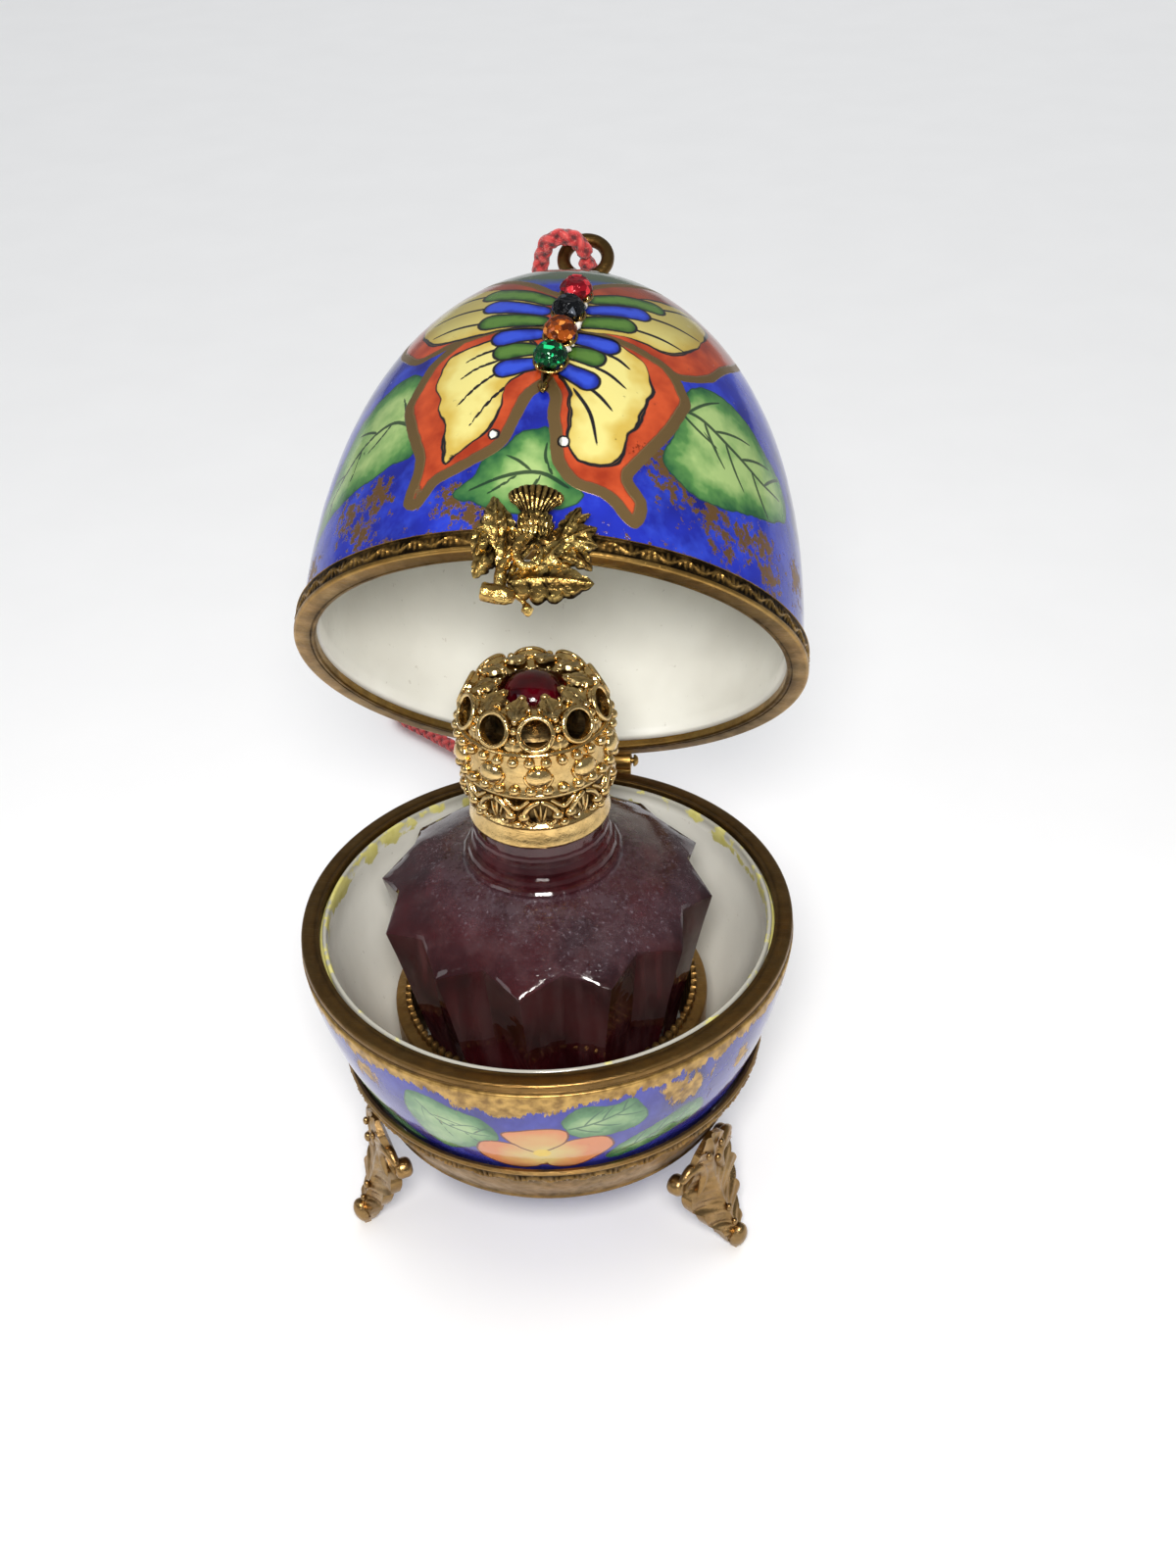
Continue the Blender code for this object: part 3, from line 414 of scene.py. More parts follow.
def smooth_curve(points, closed=False, fine=6):
    """A smooth curve through points in any number of directions, as many short straight pieces."""
    points = [np.array(point, float) for point in points]
    if closed:
        ends = [points[-1], *points, points[0], points[1]]
    else:
        ends = [2 * points[0] - points[1], *points, 2 * points[-1] - points[-2]]
    made = []
    for a, b, c, d in zip(ends, ends[1:], ends[2:], ends[3:]):
        for i in range(fine):
            t = i / fine
            made.append(0.5 * (2 * b + (c - a) * t + (2 * a - 5 * b + 4 * c - d) * t ** 2
                               + (3 * b - a - 3 * c + d) * t ** 3))
    return np.array(made if closed else made + [points[-1]])


def even_steps(points, step):
    """The same line with points about one step apart and its ends kept, and the line's length."""
    points = np.asarray(points, float)
    reach = np.concatenate([[0], np.cumsum(np.linalg.norm(np.diff(points, axis=0), axis=1))])
    wanted = np.linspace(0, reach[-1], max(2, int(round(reach[-1] / step)) + 1))
    return np.stack([np.interp(wanted, reach, column) for column in points.T], axis=1), reach[-1]


def spin_profile(bm, profile, spans=((0, 360, 96),), closed=True):
    """Spins a profile of (radius, height) about Z. Each span is (from, to, steps) in degrees."""
    before = set(bm.verts)
    for start, stop, steps in spans:
        turn = Matrix.Rotation(radians(start), 3, "Z")
        ring = [bm.verts.new(turn @ Vector((radius, 0, height))) for radius, height in profile]
        pairs = list(zip(ring, ring[1:]))
        if closed and profile[0][0] > 0:
            pairs.append((ring[-1], ring[0]))
        edges = [bm.edges.new(pair) for pair in pairs]
        whole = abs(stop - start) >= 360
        bmesh.ops.spin(bm, geom=ring + edges, cent=(0, 0, 0), axis=(0, 0, 1),
                       angle=radians(stop - start), steps=steps, use_merge=whole)
    return [vert for vert in bm.verts if vert not in before]


def wrapped_grid(bm, wide, long):
    """A fresh grid from -1 to 1 both ways, as vertices that are then wrapped round a shape."""
    return bmesh.ops.create_grid(bm, x_segments=wide, y_segments=long, size=1)["verts"]


def round_corner(corner, before, after, radius, count=4):
    """Points that round one corner of a profile."""
    corner, before, after = Vector(corner), Vector(before), Vector(after)
    start = corner + (before - corner).normalized() * radius
    end = corner + (after - corner).normalized() * radius
    points = []
    for i in range(count + 1):
        t = i / count
        points.append(tuple(start * (1 - t) ** 2 + corner * 2 * t * (1 - t) + end * t ** 2))
    return points


def rounded_profile(points, radius, count=4):
    """A closed profile with every corner rounded."""
    made = []
    for i, corner in enumerate(points):
        made += round_corner(corner, points[i - 1], points[(i + 1) % len(points)], radius, count)
    return made


def add_ball(bm, place, radius, scale=(1, 1, 1), turn=None, fine=2):
    size = Matrix.Diagonal((*[radius * s for s in scale], 1))
    matrix = Matrix.Translation(place) @ (turn.to_4x4() if turn else Matrix.Identity(4)) @ size
    return bmesh.ops.create_icosphere(bm, subdivisions=fine, radius=1, matrix=matrix)["verts"]


def add_hoop(bm, matrix, radius, thick, sides, wire_sides, arc=360):
    """A torus, or an arc of one, spun from a small circle. It lies in the matrix's XY plane."""
    before = set(bm.verts)
    made = bmesh.ops.create_circle(bm, segments=wire_sides, radius=thick, cap_ends=arc < 360,
                                   matrix=Matrix.Translation((radius, 0, 0))
                                   @ Matrix.Rotation(pi / 2, 4, "X"))["verts"]
    edges = list({edge for vert in made for edge in vert.link_edges})
    faces = list({face for vert in made for face in vert.link_faces})
    bmesh.ops.spin(bm, geom=made + edges + faces, cent=(0, 0, 0), axis=(0, 0, 1),
                   angle=radians(arc), steps=sides, use_merge=arc >= 360)
    fresh = [vert for vert in bm.verts if vert not in before]
    bmesh.ops.transform(bm, matrix=matrix, verts=fresh)
    return fresh


def round_egg(turn, radius, height):
    """A place round the egg, by its turn from the front in radians, radius and height."""
    return Vector((radius * sin(turn), -radius * cos(turn), height))


def facing_out(turn, lean=0):
    """A turn that lays a flat shape's Z outwards at that place, with its Y upwards, leaning in by lean."""
    return Matrix.Rotation(turn, 3, "Z") @ Matrix.Rotation(pi / 2 - lean, 3, "X")


print("piece helpers ready")

# %% [markdown]
# The cord is a thin red plait through the top loop. It comes over the left side of the loop, hangs down
# behind the open lid, runs a little way along the table and goes back up to the loop, so both its ends
# are held by the egg. It is a tube swept along one smooth route. The plait is raised in the mesh: three
# strands wind round the tube each way. At every crossing one of them lies on top, in turn.
# Each vertex stores how high it sits and where it lies in its strand, and the material reads both:
# painted shade in the low parts between the strands, and a painted highlight on their tops.

# %% Cord
CORD_R = 1.2
LOOP_CENTRE_H = 61.6
CORD_OVER_LOOP = ((0, 0.3, 0), (-0.3, 1.4, 0.7), (-1.5, 2.4, 1.5), (-3.4, 2.5, 1.7),
                  (-5.3, 1.6, 1.4), (-6.3, -0.8, 0.7), (-6.7, -2.7, -0.6))
CORD_HANGING = ((-7.1, 69.1, 102), (-7.6, 70.4, 90), (-8.2, 70.8, 74), (-9, 70.6, 54),
                (-9.8, 71, 34), (-10.6, 72.2, 15), (-12.5, 75.6, 4.6), (-16.8, 81.6, 1.6),
                (-23.5, 90, 1.6), (-30.8, 97.2, 1.6), (-38.6, 103.2, 1.6), (-45.6, 109, 1.6),
                (-46.2, 116.6, 1.6), (-39, 119.8, 1.6), (-28, 114.6, 1.6), (-16, 103.4, 1.6),
                (-5.5, 88.6, 1.6), (-0.2, 79, 2.8), (1.6, 74.8, 10), (1.9, 73.4, 26),
                (1.6, 73, 48), (1.2, 73, 70), (0.8, 72.6, 90), (0.3, 70.6, 104))
PLAIT_PITCH = 6.4                 # millimetres along the cord for one turn of a strand
PLAIT_STRANDS = 3                 # that wind each way
CORD_SIDES = 30
CORD_STEP = 0.2


def cord_route():
    """The route in millimetres, in the egg's own frame: over the loop, down, along the table and back."""
    forward = Matrix.Rotation(-travel, 3, "X") @ Vector((0, -1, 0))
    up = Matrix.Rotation(-travel, 3, "X") @ Vector((0, 0, 1))
    centre = (EGG.inverted() @ LID) @ Vector((0, 0, LOOP_CENTRE_H))
    over = [centre + Vector((x, 0, 0)) + forward * y + up * z for x, y, z in CORD_OVER_LOOP]
    return over + [Vector(p) for p in CORD_HANGING] + [centre - forward * 0.3]


def make_cord_material():
    material, w = new_material("red_plait", {"Sheen Weight": 0.25})
    height = w.field("strand")
    fibre = w.grain(2600, 2, 0.6)
    thread = w.field("thread")
    # Painted shade between the strands, and a painted highlight on the strand tops.
    colour = w.mix(w.spread(height, 0.3, 0.72), srgb(70, 8, 16), srgb(204, 52, 54))
    colour = w.mix(w.times(w.spread(height, 0.7, 0.98), 0.5), colour, srgb(236, 108, 100))
    colour = w.mix(w.times(w.clouds(90), 0.2), colour, srgb(216, 80, 72))
    colour = w.mix(w.times(w.above(thread, 0.55, 0.4), 0.25), colour, srgb(150, 26, 34))
    colour = w.mix(w.times(w.above(fibre, 0.62, 0.06), 0.4), colour, srgb(248, 150, 138))
    w.surface(colour, w.spread(fibre, 0.2, 0.8, 0.55, 0.85), w.plus(fibre, w.times(thread, 0.7)), 0.6, 0.0002)
    return material


def make_cord():
    line, length = even_steps(smooth_curve(cord_route(), fine=20), CORD_STEP)
    along = np.gradient(line, axis=0)
    along /= np.linalg.norm(along, axis=1)[:, None]
    side = np.zeros_like(line)
    side[0] = np.cross(along[0], (0, 1, 0.3))
    for i in range(len(line)):
        lean = side[max(i - 1, 0)]
        side[i] = lean - along[i] * np.dot(lean, along[i])
        side[i] /= np.linalg.norm(side[i])
    other = np.cross(along, side)
    bm = bmesh.new()
    for name in ("strand", "thread"):
        bm.verts.layers.float.new(name)
    strand, thread = (bm.verts.layers.float[name] for name in ("strand", "thread"))
    for vert in wrapped_grid(bm, len(line) - 1, CORD_SIDES):
        i = int(round((vert.co.x + 1) / 2 * (len(line) - 1)))
        turn = (vert.co.y + 1) * pi
        travelled = i * CORD_STEP * 2 * pi / PLAIT_PITCH
        one = PLAIT_STRANDS * (turn - travelled) / (2 * pi)
        two = PLAIT_STRANDS * (turn + travelled) / (2 * pi)
        over = 0.42 * cos(pi * one) * cos(pi * two)
        ridges = (abs(cos(pi * one)) * (0.58 + over), abs(cos(pi * two)) * (0.58 - over))
        height = max(ridges) ** 0.8
        end = min(i, len(line) - 1 - i)
        radius = CORD_R * (0.72 + 0.3 * height) * min(1, 0.55 + 0.15 * end)
        vert.co = Vector(line[i] + (side[i] * cos(turn) + other[i] * sin(turn)) * radius)
        vert[strand] = height
        vert[thread] = sin(22 * (one if ridges[0] > ridges[1] else two))
    bmesh.ops.remove_doubles(bm, verts=bm.verts, dist=0.002)
    bmesh.ops.holes_fill(bm, edges=[edge for edge in bm.edges if edge.is_boundary], sides=0)
    piece = finished("cord_plait", bm, make_cord_material(), None, "red_cord", "cord", sharp=180)
    table_end = EGG @ Vector((-20, 80, 5))
    lid_end = EGG @ Vector((-4, 71, 98))
    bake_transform(piece, "base", "lid", start=table_end, end=lid_end)
    return length


cord_length = make_cord()
print("cord length", round(cord_length, 1), "mm")

# %% [markdown]
# The lid and the bowl are porcelain painted over the glaze. The painting isn't a picture file. Each leaf,
# wing and petal is drawn as a smooth curve through a few points, given as degrees round the egg from the
# front and millimetres up. For every vertex of the skin, the canvas works out how far it lies inside each
# curve, and stores that number in the mesh. The material then cuts each number off at 0 to get a crisp
# edge, and at a little more or less to get an outline. Thin brush strokes store two numbers: the distance
# to one side of the stroke, and the stroke's half width at that place.

# %% Drawing on a round skin
class Canvas:
    """Measures every vertex of a skin against drawn curves."""

    def __init__(self, mesh, radius_of, outside, heart):
        self.mesh = mesh
        self.at = vertex_places(mesh)
        self.turn = np.degrees(np.arctan2(self.at[:, 0], -self.at[:, 1]))
        self.radius_of = radius_of
        self.outside = outside(np.hypot(self.at[:, 0], self.at[:, 1]), self.at[:, 2])
        self.outward = self.at - (0, 0, heart)
        store_field(mesh, "outside", np.where(self.outside, 1, -1))

    def on_skin(self, drawn):
        turn = np.radians(drawn[:, 0])
        radius = self.radius_of(drawn[:, 1])
        return np.stack([radius * np.sin(turn), -radius * np.cos(turn), drawn[:, 1]], axis=1)

    def nearest(self, line, reach):
        """The vertices near a line, with distance, side (+1 or -1), share along and overshoot of each."""
        low, high = line.min(axis=0) - reach, line.max(axis=0) + reach
        near = np.flatnonzero(self.outside & np.all((self.at > low) & (self.at < high), axis=1))
        places, outward = self.at[near], self.outward[near]
        best = np.full(len(near), 1e9)
        side, along, over = np.ones(len(near)), np.zeros(len(near)), np.zeros(len(near))
        travelled = 0
        last = len(line) - 2
        for i, (a, b) in enumerate(zip(line, line[1:])):
            run = b - a
            length = max(1e-6, float(np.linalg.norm(run)))
            t = (places - a) @ run / length ** 2
            held = np.clip(t, 0, 1)
            gap = places - a - held[:, None] * run
            distance = np.linalg.norm(gap, axis=1)
            closer = distance < best
            best[closer] = distance[closer]
            side[closer] = np.sign(np.einsum("ij,ij->i", np.cross(run, gap[closer]), outward[closer]))
            along[closer] = travelled + held[closer] * length
            past = np.zeros(len(near))
            if i == 0:
                past = np.maximum(past, -t * length)
            if i == last:
                past = np.maximum(past, (t - 1) * length)
            over[closer] = past[closer]
            travelled += length
        return near, best, side, along / travelled, over

    def shape(self, points, margin=1.5):
        """How far inside a closed curve each vertex lies. Outside it's below 0."""
        drawn = smooth_curve(points, closed=True)
        line = self.on_skin(np.vstack([drawn, drawn[:1]]))
        near, distance, _, _, _ = self.nearest(line, margin)
        middle = drawn[:, 0].mean()
        x = (self.turn[near] - middle + 180) % 360 - 180
        y = self.at[near, 2]
        inside = np.zeros(len(near), bool)
        for (x1, y1), (x2, y2) in zip(drawn - (middle, 0), np.roll(drawn, -1, axis=0) - (middle, 0)):
            if y1 != y2:
                inside ^= ((y1 > y) != (y2 > y)) & (x < (x2 - x1) * (y - y1) / (y2 - y1) + x1)
        values = np.full(len(self.at), -9.0)
        values[near] = np.where(inside, distance, -distance)
        return values

    def shapes(self, name, outlines):
        store_field(self.mesh, name, np.maximum.reduce([self.shape(outline) for outline in outlines]))

    def petals(self, name, lines, half_width):
        """Round-ended bands along lines, a little narrower at the root than at the tip."""
        values = np.full(len(self.at), -9.0)
        for points in lines:
            near, distance, _, along, _ = self.nearest(self.on_skin(smooth_curve(points)), half_width + 1.5)
            values[near] = np.maximum(values[near], half_width * (0.7 + 0.3 * along) - distance)
        store_field(self.mesh, name, values)

    def strokes(self, name, lines, half_width):
        """Thin brush strokes that taper to their ends, as a side distance and a half width."""
        sides = np.full(len(self.at), 9.0)
        widths = np.full(len(self.at), -1.0)
        for points in lines:
            near, distance, side, along, over = self.nearest(self.on_skin(smooth_curve(points)), 1.2)
            taper = np.clip(np.minimum(along / 0.12, (1 - along) / 0.45), 0, 1) ** 0.6
            width = half_width * (0.35 + 0.65 * taper) - over
            width = np.where(distance > half_width + 0.45, half_width - distance, width)
            closer = distance < np.abs(sides[near])
            sides[near[closer]] = (distance * side)[closer]
            widths[near[closer]] = width[closer]
        store_field(self.mesh, name + "_side", sides)
        store_field(self.mesh, name + "_width", widths)

    def leaves(self, outlines, midribs, rib_width, veins, vein_width):
        """Leaves with their veins. Neighbouring veins are kept apart in two sets."""
        self.shapes("leaf", front_and_back(outlines))
        self.strokes("rib", front_and_back(midribs), rib_width)
        self.strokes("left_vein", front_and_back(veins[::2]), vein_width)
        self.strokes("right_vein", front_and_back(veins[1::2]), vein_width)

    def patches(self, name, centres, reach):
        """Soft round patches: 1 in the middle of each, falling off to 0."""
        places = self.on_skin(np.array(centres, float))
        values = np.zeros(len(self.at))
        for place in places:
            values = np.maximum(values, np.exp(-(np.linalg.norm(self.at - place, axis=1) / reach) ** 2))
        store_field(self.mesh, name, np.where(self.outside, values, 0))


def leaf_veins(midrib, count, reach, radius_of, lean=46):
    """Side veins from a midrib, in turn left and right, bending towards the leaf's tip."""
    line = smooth_curve(midrib)
    veins = []
    for i in range(2 * count):
        k = int((i + 1) / (2 * count + 1.6) * (len(line) - 2))
        wide = float(radius_of(np.array([line[k][1]]))[0]) * pi / 180
        ahead = (line[k + 1] - line[k]) * (wide, 1)
        ahead /= np.linalg.norm(ahead)
        place = line[k].copy()
        vein = [tuple(place)]
        for share in (1, 0.85, 0.68):
            angle = radians(lean * share * (1 if i % 2 else -1))
            way = np.array([ahead[0] * cos(angle) - ahead[1] * sin(angle),
                            ahead[0] * sin(angle) + ahead[1] * cos(angle)])
            place = place + way * reach / 3 / (wide, 1)
            vein.append(tuple(place))
        veins.append(vein)
    return veins


def front_and_back(lines):
    """The same lines once as they are and once turned to the back."""
    return [[(turn + more, height) for turn, height in line] for more in (0, 180) for line in lines]


print("canvas ready")

# %% [markdown]
# The lid is a dome with a superellipse for its profile, a little pointed. The painting shows a butterfly
# with its wings spread, on a blue ground with three broad leaves. Its body is the strip of stones.

# %% The lid's painting
LID_R = 32.05
LID_H = 54.6
LID_WALL = 2.4
LID_EDGE = 1.45
CROWN_H = 46                    # above this the painting darkens to an olive crown


def dome_radius(height, radius=LID_R, tall=LID_H):
    rest = 1 - (np.clip(np.asarray(height, float), 0, tall) / tall) ** 2.417
    return radius * rest ** (1 / 1.982)


def dome_slope(height):
    run = float(dome_radius(height - 0.05) - dome_radius(height + 0.05))
    return atan2(run, 0.1)


LOWER_WINGS = (
    [(1, 21.8), (-1, 20.5), (-3, 17), (-5, 14), (-9, 12.2), (-14, 10.7), (-19, 9.4), (-21, 7.9), (-23, 6.6),
     (-25, 6.5), (-27, 7.3), (-27, 8.8), (-26, 11.2), (-26, 13.4), (-28, 15.7), (-31, 19), (-33, 21.9),
     (-32, 24.3), (-31, 26.4), (-29, 29), (-20, 33), (-5, 35), (5, 34), (5, 25)],
    [(1, 23.1), (3, 21), (3, 18.3), (4, 15.3), (5, 11.9), (8, 9.3), (11, 8.3), (15, 7.8), (18, 6.8),
     (20, 5.4), (23, 4.6), (25, 6.1), (25, 8.4), (22, 10.7), (23, 12.1), (27, 15.2), (31, 18.4), (34, 21.4),
     (36, 23.6), (35, 25.7), (33, 28), (24, 33), (8, 35), (0, 34), (-1, 26)],
)
UPPER_WINGS = (
    [(3, 32.4), (-11, 32), (-18, 31.3), (-25, 30.6), (-30, 29.9), (-36, 29.6), (-43, 31.9), (-49, 34.1),
     (-55, 38), (-61, 42), (-55, 45.5), (-40, 46.8), (-20, 45), (-8, 42.6), (-1, 40.4), (6, 38)],
    [(1, 32.2), (12, 31.2), (20, 30.3), (28, 28.6), (34, 27.2), (44, 29.3), (51, 32.5), (63, 36.5),
     (70, 39), (75, 42.5), (70, 46), (58, 48), (45, 47.8), (25, 45.2), (12, 42.6), (7, 40.6), (1, 38)],
)
LOWER_CELLS = (
    [(-24, 28.3), (-18, 29.7), (-11, 30.9), (-3, 30), (-2, 26), (-5, 23.8), (-7, 22), (-8, 19.3),
     (-9, 16.7), (-12, 14.6), (-15, 13.2), (-18, 12.1), (-19, 13.9), (-20, 16), (-20, 17.6), (-22, 19.4),
     (-23, 21.8), (-25, 23.8), (-25, 25.5)],
    [(16, 30.2), (20, 29.8), (23, 29), (25, 27.1), (26, 24.4), (24, 21.8), (23, 19.1), (21, 16.8),
     (20, 14.6), (17, 12.2), (13, 11.9), (10, 12.7), (8, 15), (8, 18.4), (7, 21.6), (5, 24.4), (6, 29)],
)
UPPER_CELLS = (
    [(-9, 32.4), (-17, 32), (-24, 31.8), (-32, 32.4), (-36, 33.7), (-42, 36.5), (-45, 40), (-42, 43),
     (-33, 43.6), (-20, 42.2), (-10, 40), (-3, 38), (-2, 33.4)],
    [(8, 32.2), (17, 32.2), (25, 31.8), (30, 31.2), (35, 31.8), (42, 34.6), (46, 36.8), (53, 41),
     (47, 43.4), (34, 42.4), (22, 40.6), (12, 38.7), (6, 36)],
)
GREEN_FINGERS = ([(-1, 37.8), (-10, 39.6), (-20, 40.6)], [(-2, 33.6), (-9, 34), (-16, 34.2)],
                 [(-3, 28.4), (-6, 28.4), (-9, 28.2)],
                 [(12, 38.7), (21, 39.8), (31, 40.1)], [(8, 33.5), (14, 34.1), (20, 34.4)],
                 [(6, 28.1), (9, 27.9), (12, 27.6)])
BLUE_FINGERS = ([(-2, 35.6), (-10, 36.7), (-17, 37.5)], [(-2, 31.1), (-6, 31), (-10.5, 30.7)],
                [(-2, 25.9), (-5, 25.7), (-8, 25.4)],
                [(11, 36.3), (18, 37), (25, 37.5)], [(7, 30.6), (11, 30.4), (15.5, 29.9)],
                [(5, 25.4), (8, 24.6), (11, 23.8)])
WING_VEINS = ([(-11, 28.8), (-15, 28.2), (-19, 27.1)], [(-10, 26.8), (-15, 25.9), (-19, 24.4)],
              [(-10, 24.7), (-14, 22.9), (-18, 20.2)], [(-6, 23.1), (-10, 20.6), (-14, 17)],
              [(-18, 34.2), (-27, 34.4), (-35, 34)], [(-19, 37.5), (-30, 37.9), (-40, 37.5)],
              [(-22, 40.8), (-32, 41.3), (-42, 41)],
              [(15, 28.5), (18, 27.9), (21, 26.6)], [(12, 26.2), (16, 25.2), (20, 23.4)],
              [(11, 22.9), (14, 21.6), (17, 19.7)], [(8, 22.4), (12, 19), (14, 14.6)],
              [(33, 40.2), (43, 41.8), (53, 42.6)], [(26, 37.3), (36, 37.3), (45, 36.6)],
              [(22, 34), (30, 33.6), (37, 32.7)])
WING_DOTS = ([(-8.4, 15.2), (-7.6, 15.2), (-7.6, 15.8), (-8.4, 15.8)],
             [(6.6, 14.3), (7.4, 14.3), (7.4, 14.9), (6.6, 14.9)])
LID_LEAVES = (
    [(-25, 20), (-28, 25), (-33, 27.4), (-41, 27.4), (-48, 25.3), (-53, 23), (-56, 19.6), (-60, 15),
     (-66, 8.5), (-57, 10.5), (-46, 11.9), (-38, 12.8), (-33, 13.7), (-27, 14.4)],
    [(4, 16.4), (0, 16.2), (-3, 15.4), (-5, 13.8), (-9, 12.1), (-11, 10.3), (-13, 9.2), (-15.5, 7.4),
     (-10, 6.2), (-7, 5.6), (-3, 4.9), (3, 4.8), (9, 6), (12, 7.5), (10, 9.5), (7, 12.5)],
    [(31, 18.3), (33, 23.5), (37, 26.7), (43, 27.8), (50, 27.4), (56, 25.6), (62, 22.9), (68, 20.4),
     (70, 16.6), (65, 14), (53, 11.8), (45, 10.9), (38, 10.7), (33, 12), (28, 14.6)],
)
LID_MIDRIBS = ([(-27, 18), (-36, 20.4), (-46, 18.6), (-56, 13.6), (-61, 10.6)],
               [(9, 8.4), (3, 10.2), (-4, 9.8), (-12, 8)],
               [(30, 22.4), (38, 22.4), (47, 20), (57, 17.8), (66, 17.4)])
MIDDLE_VEINS = [[(1, 10.4), (-2, 11.8), (-5, 12.6)], [(-2, 9.8), (-5, 8.5), (-8, 7.4)],
                [(5.4, 9.9), (3.6, 12.2), (3.6, 14.4)], [(3, 10), (1.4, 8.2), (-1, 6.6)]]
WORN_GOLD = [(-15, 6.9), (-10, 4.6), (-35, 9.9), (-45, 8.3), (-39, 6), (32, 11.2), (41, 9.5), (44, 6.8),
             (57, 8.8), (60, 5.7), (28, 13.9), (50, 8.2), (-62, 5), (75, 9), (108, 7), (160, 8), (-120, 6)]


def canvas_mesh(name, profile, spans):
    bm = bmesh.new()
    spin_profile(bm, profile, spans, closed=False)
    bmesh.ops.remove_doubles(bm, verts=bm.verts, dist=0.002)
    bmesh.ops.recalc_face_normals(bm, faces=bm.faces)
    mesh = bpy.data.meshes.new(name)
    bm.to_mesh(mesh)
    bm.free()
    return mesh


def curve_rows(curve, low, high, step):
    heights = np.linspace(low, high, 600)
    return even_steps(np.stack([curve(heights), heights], axis=1), step)[0].tolist()


def make_lid_mesh():
    outer = curve_rows(dome_radius, LID_EDGE + 0.3, LID_H, 0.40)
    inner_r, inner_h = LID_R - LID_WALL, LID_H - LID_WALL
    inner = curve_rows(lambda h: dome_radius(h, inner_r, inner_h), LID_EDGE + 0.3, inner_h, 1.8)
    edge = [(outer[0][0] - 0.3, LID_EDGE), (inner[0][0] + 0.3, LID_EDGE)]
    profile = outer[::-1] + edge + inner
    profile[0] = (0, profile[0][1])
    profile[-1] = (0, profile[-1][1])
    return canvas_mesh("lid_porcelain", profile, ((-84, 84, 240), (84, 276, 120)))


def paint_lid(mesh):
    canvas = Canvas(mesh, dome_radius, lambda r, z: r > dome_radius(z) - 1, 18)
    for name, outlines in (("lower_wing", LOWER_WINGS), ("upper_wing", UPPER_WINGS), ("dot", WING_DOTS),
                           ("lower_cell", LOWER_CELLS), ("upper_cell", UPPER_CELLS)):
        canvas.shapes(name, outlines)
    canvas.petals("green_finger", GREEN_FINGERS, 1.55)
    canvas.petals("blue_finger", BLUE_FINGERS, 1.5)
    canvas.strokes("vein", WING_VEINS, 0.24)
    veins = leaf_veins(LID_MIDRIBS[0], 3, 5, dome_radius) + leaf_veins(LID_MIDRIBS[2], 4, 6.5, dome_radius)
    canvas.leaves(LID_LEAVES, LID_MIDRIBS, 0.26, veins + MIDDLE_VEINS, 0.2)
    canvas.patches("wear", WORN_GOLD, 3.4)
    store_field(mesh, "crown", canvas.at[:, 2] - CROWN_H)


# %% [markdown]
# The painted colours are built up in the order a china painter works: ground, leaves, wing edges in
# bronze, the orange-red border, the yellow cells, the fingers by the body, then ink. Each layer's mask is
# one stored number cut off at an edge, with a little noise added so that the edge looks brushed. The
# orange-red border and the yellow cells are also given painted shade towards the top of the dome.

# %% China paint
def brushed(w, name, wobble=0.06, scale=800):
    """A stored distance with a brush's small unevenness."""
    return w.plus(w.field(name), w.stir(wobble, scale))


def outline_of(w, value, half_width):
    return w.minus(1, w.above(w.sums("ABSOLUTE", value), half_width, 0.07))


def stroke_mask(w, name):
    return w.above(w.field(name + "_width"), w.sums("ABSOLUTE", w.field(name + "_side")), 0.05)


def inked(w, colour, shape, fill, half_width, ink):
    """A filled shape with a drawn outline, over what is there."""
    colour = w.mix(w.above(shape, 0), colour, fill)
    return w.mix(outline_of(w, shape, half_width), colour, ink)


def ground_blue(w, deep, middle, pale):
    strokes = w.grain(340, 3, 0.6, (1, 1, 0.5))
    colour = w.mix(w.spread(w.grain(70, 3, 0.55), 0.36, 0.62), deep, middle)
    return w.mix(w.times(w.spread(strokes, 0.45, 0.75), 0.6), colour, pale)


def painted_leaf(w, leaf, tones, vein_edge, vein_share, vein_tone, edge_half_width, edge_tone):
    """Pale by the midrib and darker towards the edge, with brush marks, veins and a thin outline."""
    dark, middle, pale = tones
    depth = w.plus(w.spread(leaf, 0.1, 3.6), w.stir(0.35, 240, 3, 0.6))
    green = w.mix(w.spread(depth, 0.4, 1.1), w.mix(w.spread(depth, -0.1, 0.5), dark, middle), pale)
    veins = w.most(*[stroke_mask(w, name) for name in ("rib", "left_vein", "right_vein")])
    veins = w.times(veins, w.above(leaf, vein_edge, 0.2))
    green = w.mix(w.times(veins, vein_share), green, vein_tone)
    return w.mix(outline_of(w, leaf, edge_half_width), green, edge_tone)


INK = srgb(24, 22, 26)
BRONZE = srgb(136, 110, 70)
LOWER_BORDER = 1.45               # the bronze edge inside the lower wings, in millimetres
UPPER_BORDER = 1.1


def glazed(w, colour, metal, inside_colour):
    """The shared last step: white glaze inside, paint outside, waves in the glaze over both."""
    outside = w.above(w.field("outside"), 0, 0.2)
    glaze = w.group(glaze_group)
    metal = w.times(metal, outside)
    w.put(w.shader.inputs["Metallic"], w.times(metal, 0.75))
    w.surface(w.mix(outside, inside_colour, colour), w.plus(glaze["Rough"], w.times(metal, 0.28)),
              w.plus(glaze["Height"], w.times(metal, 1.2)), 0.35, 0.0002)


def inner_glaze(w):
    specks = w.above(w.grain(900, 3, 0.6), 0.71, 0.02)
    colour = w.mix(w.clouds(60), srgb(226, 225, 216), srgb(240, 240, 232))
    return w.mix(w.times(specks, 0.25), colour, srgb(150, 140, 120))


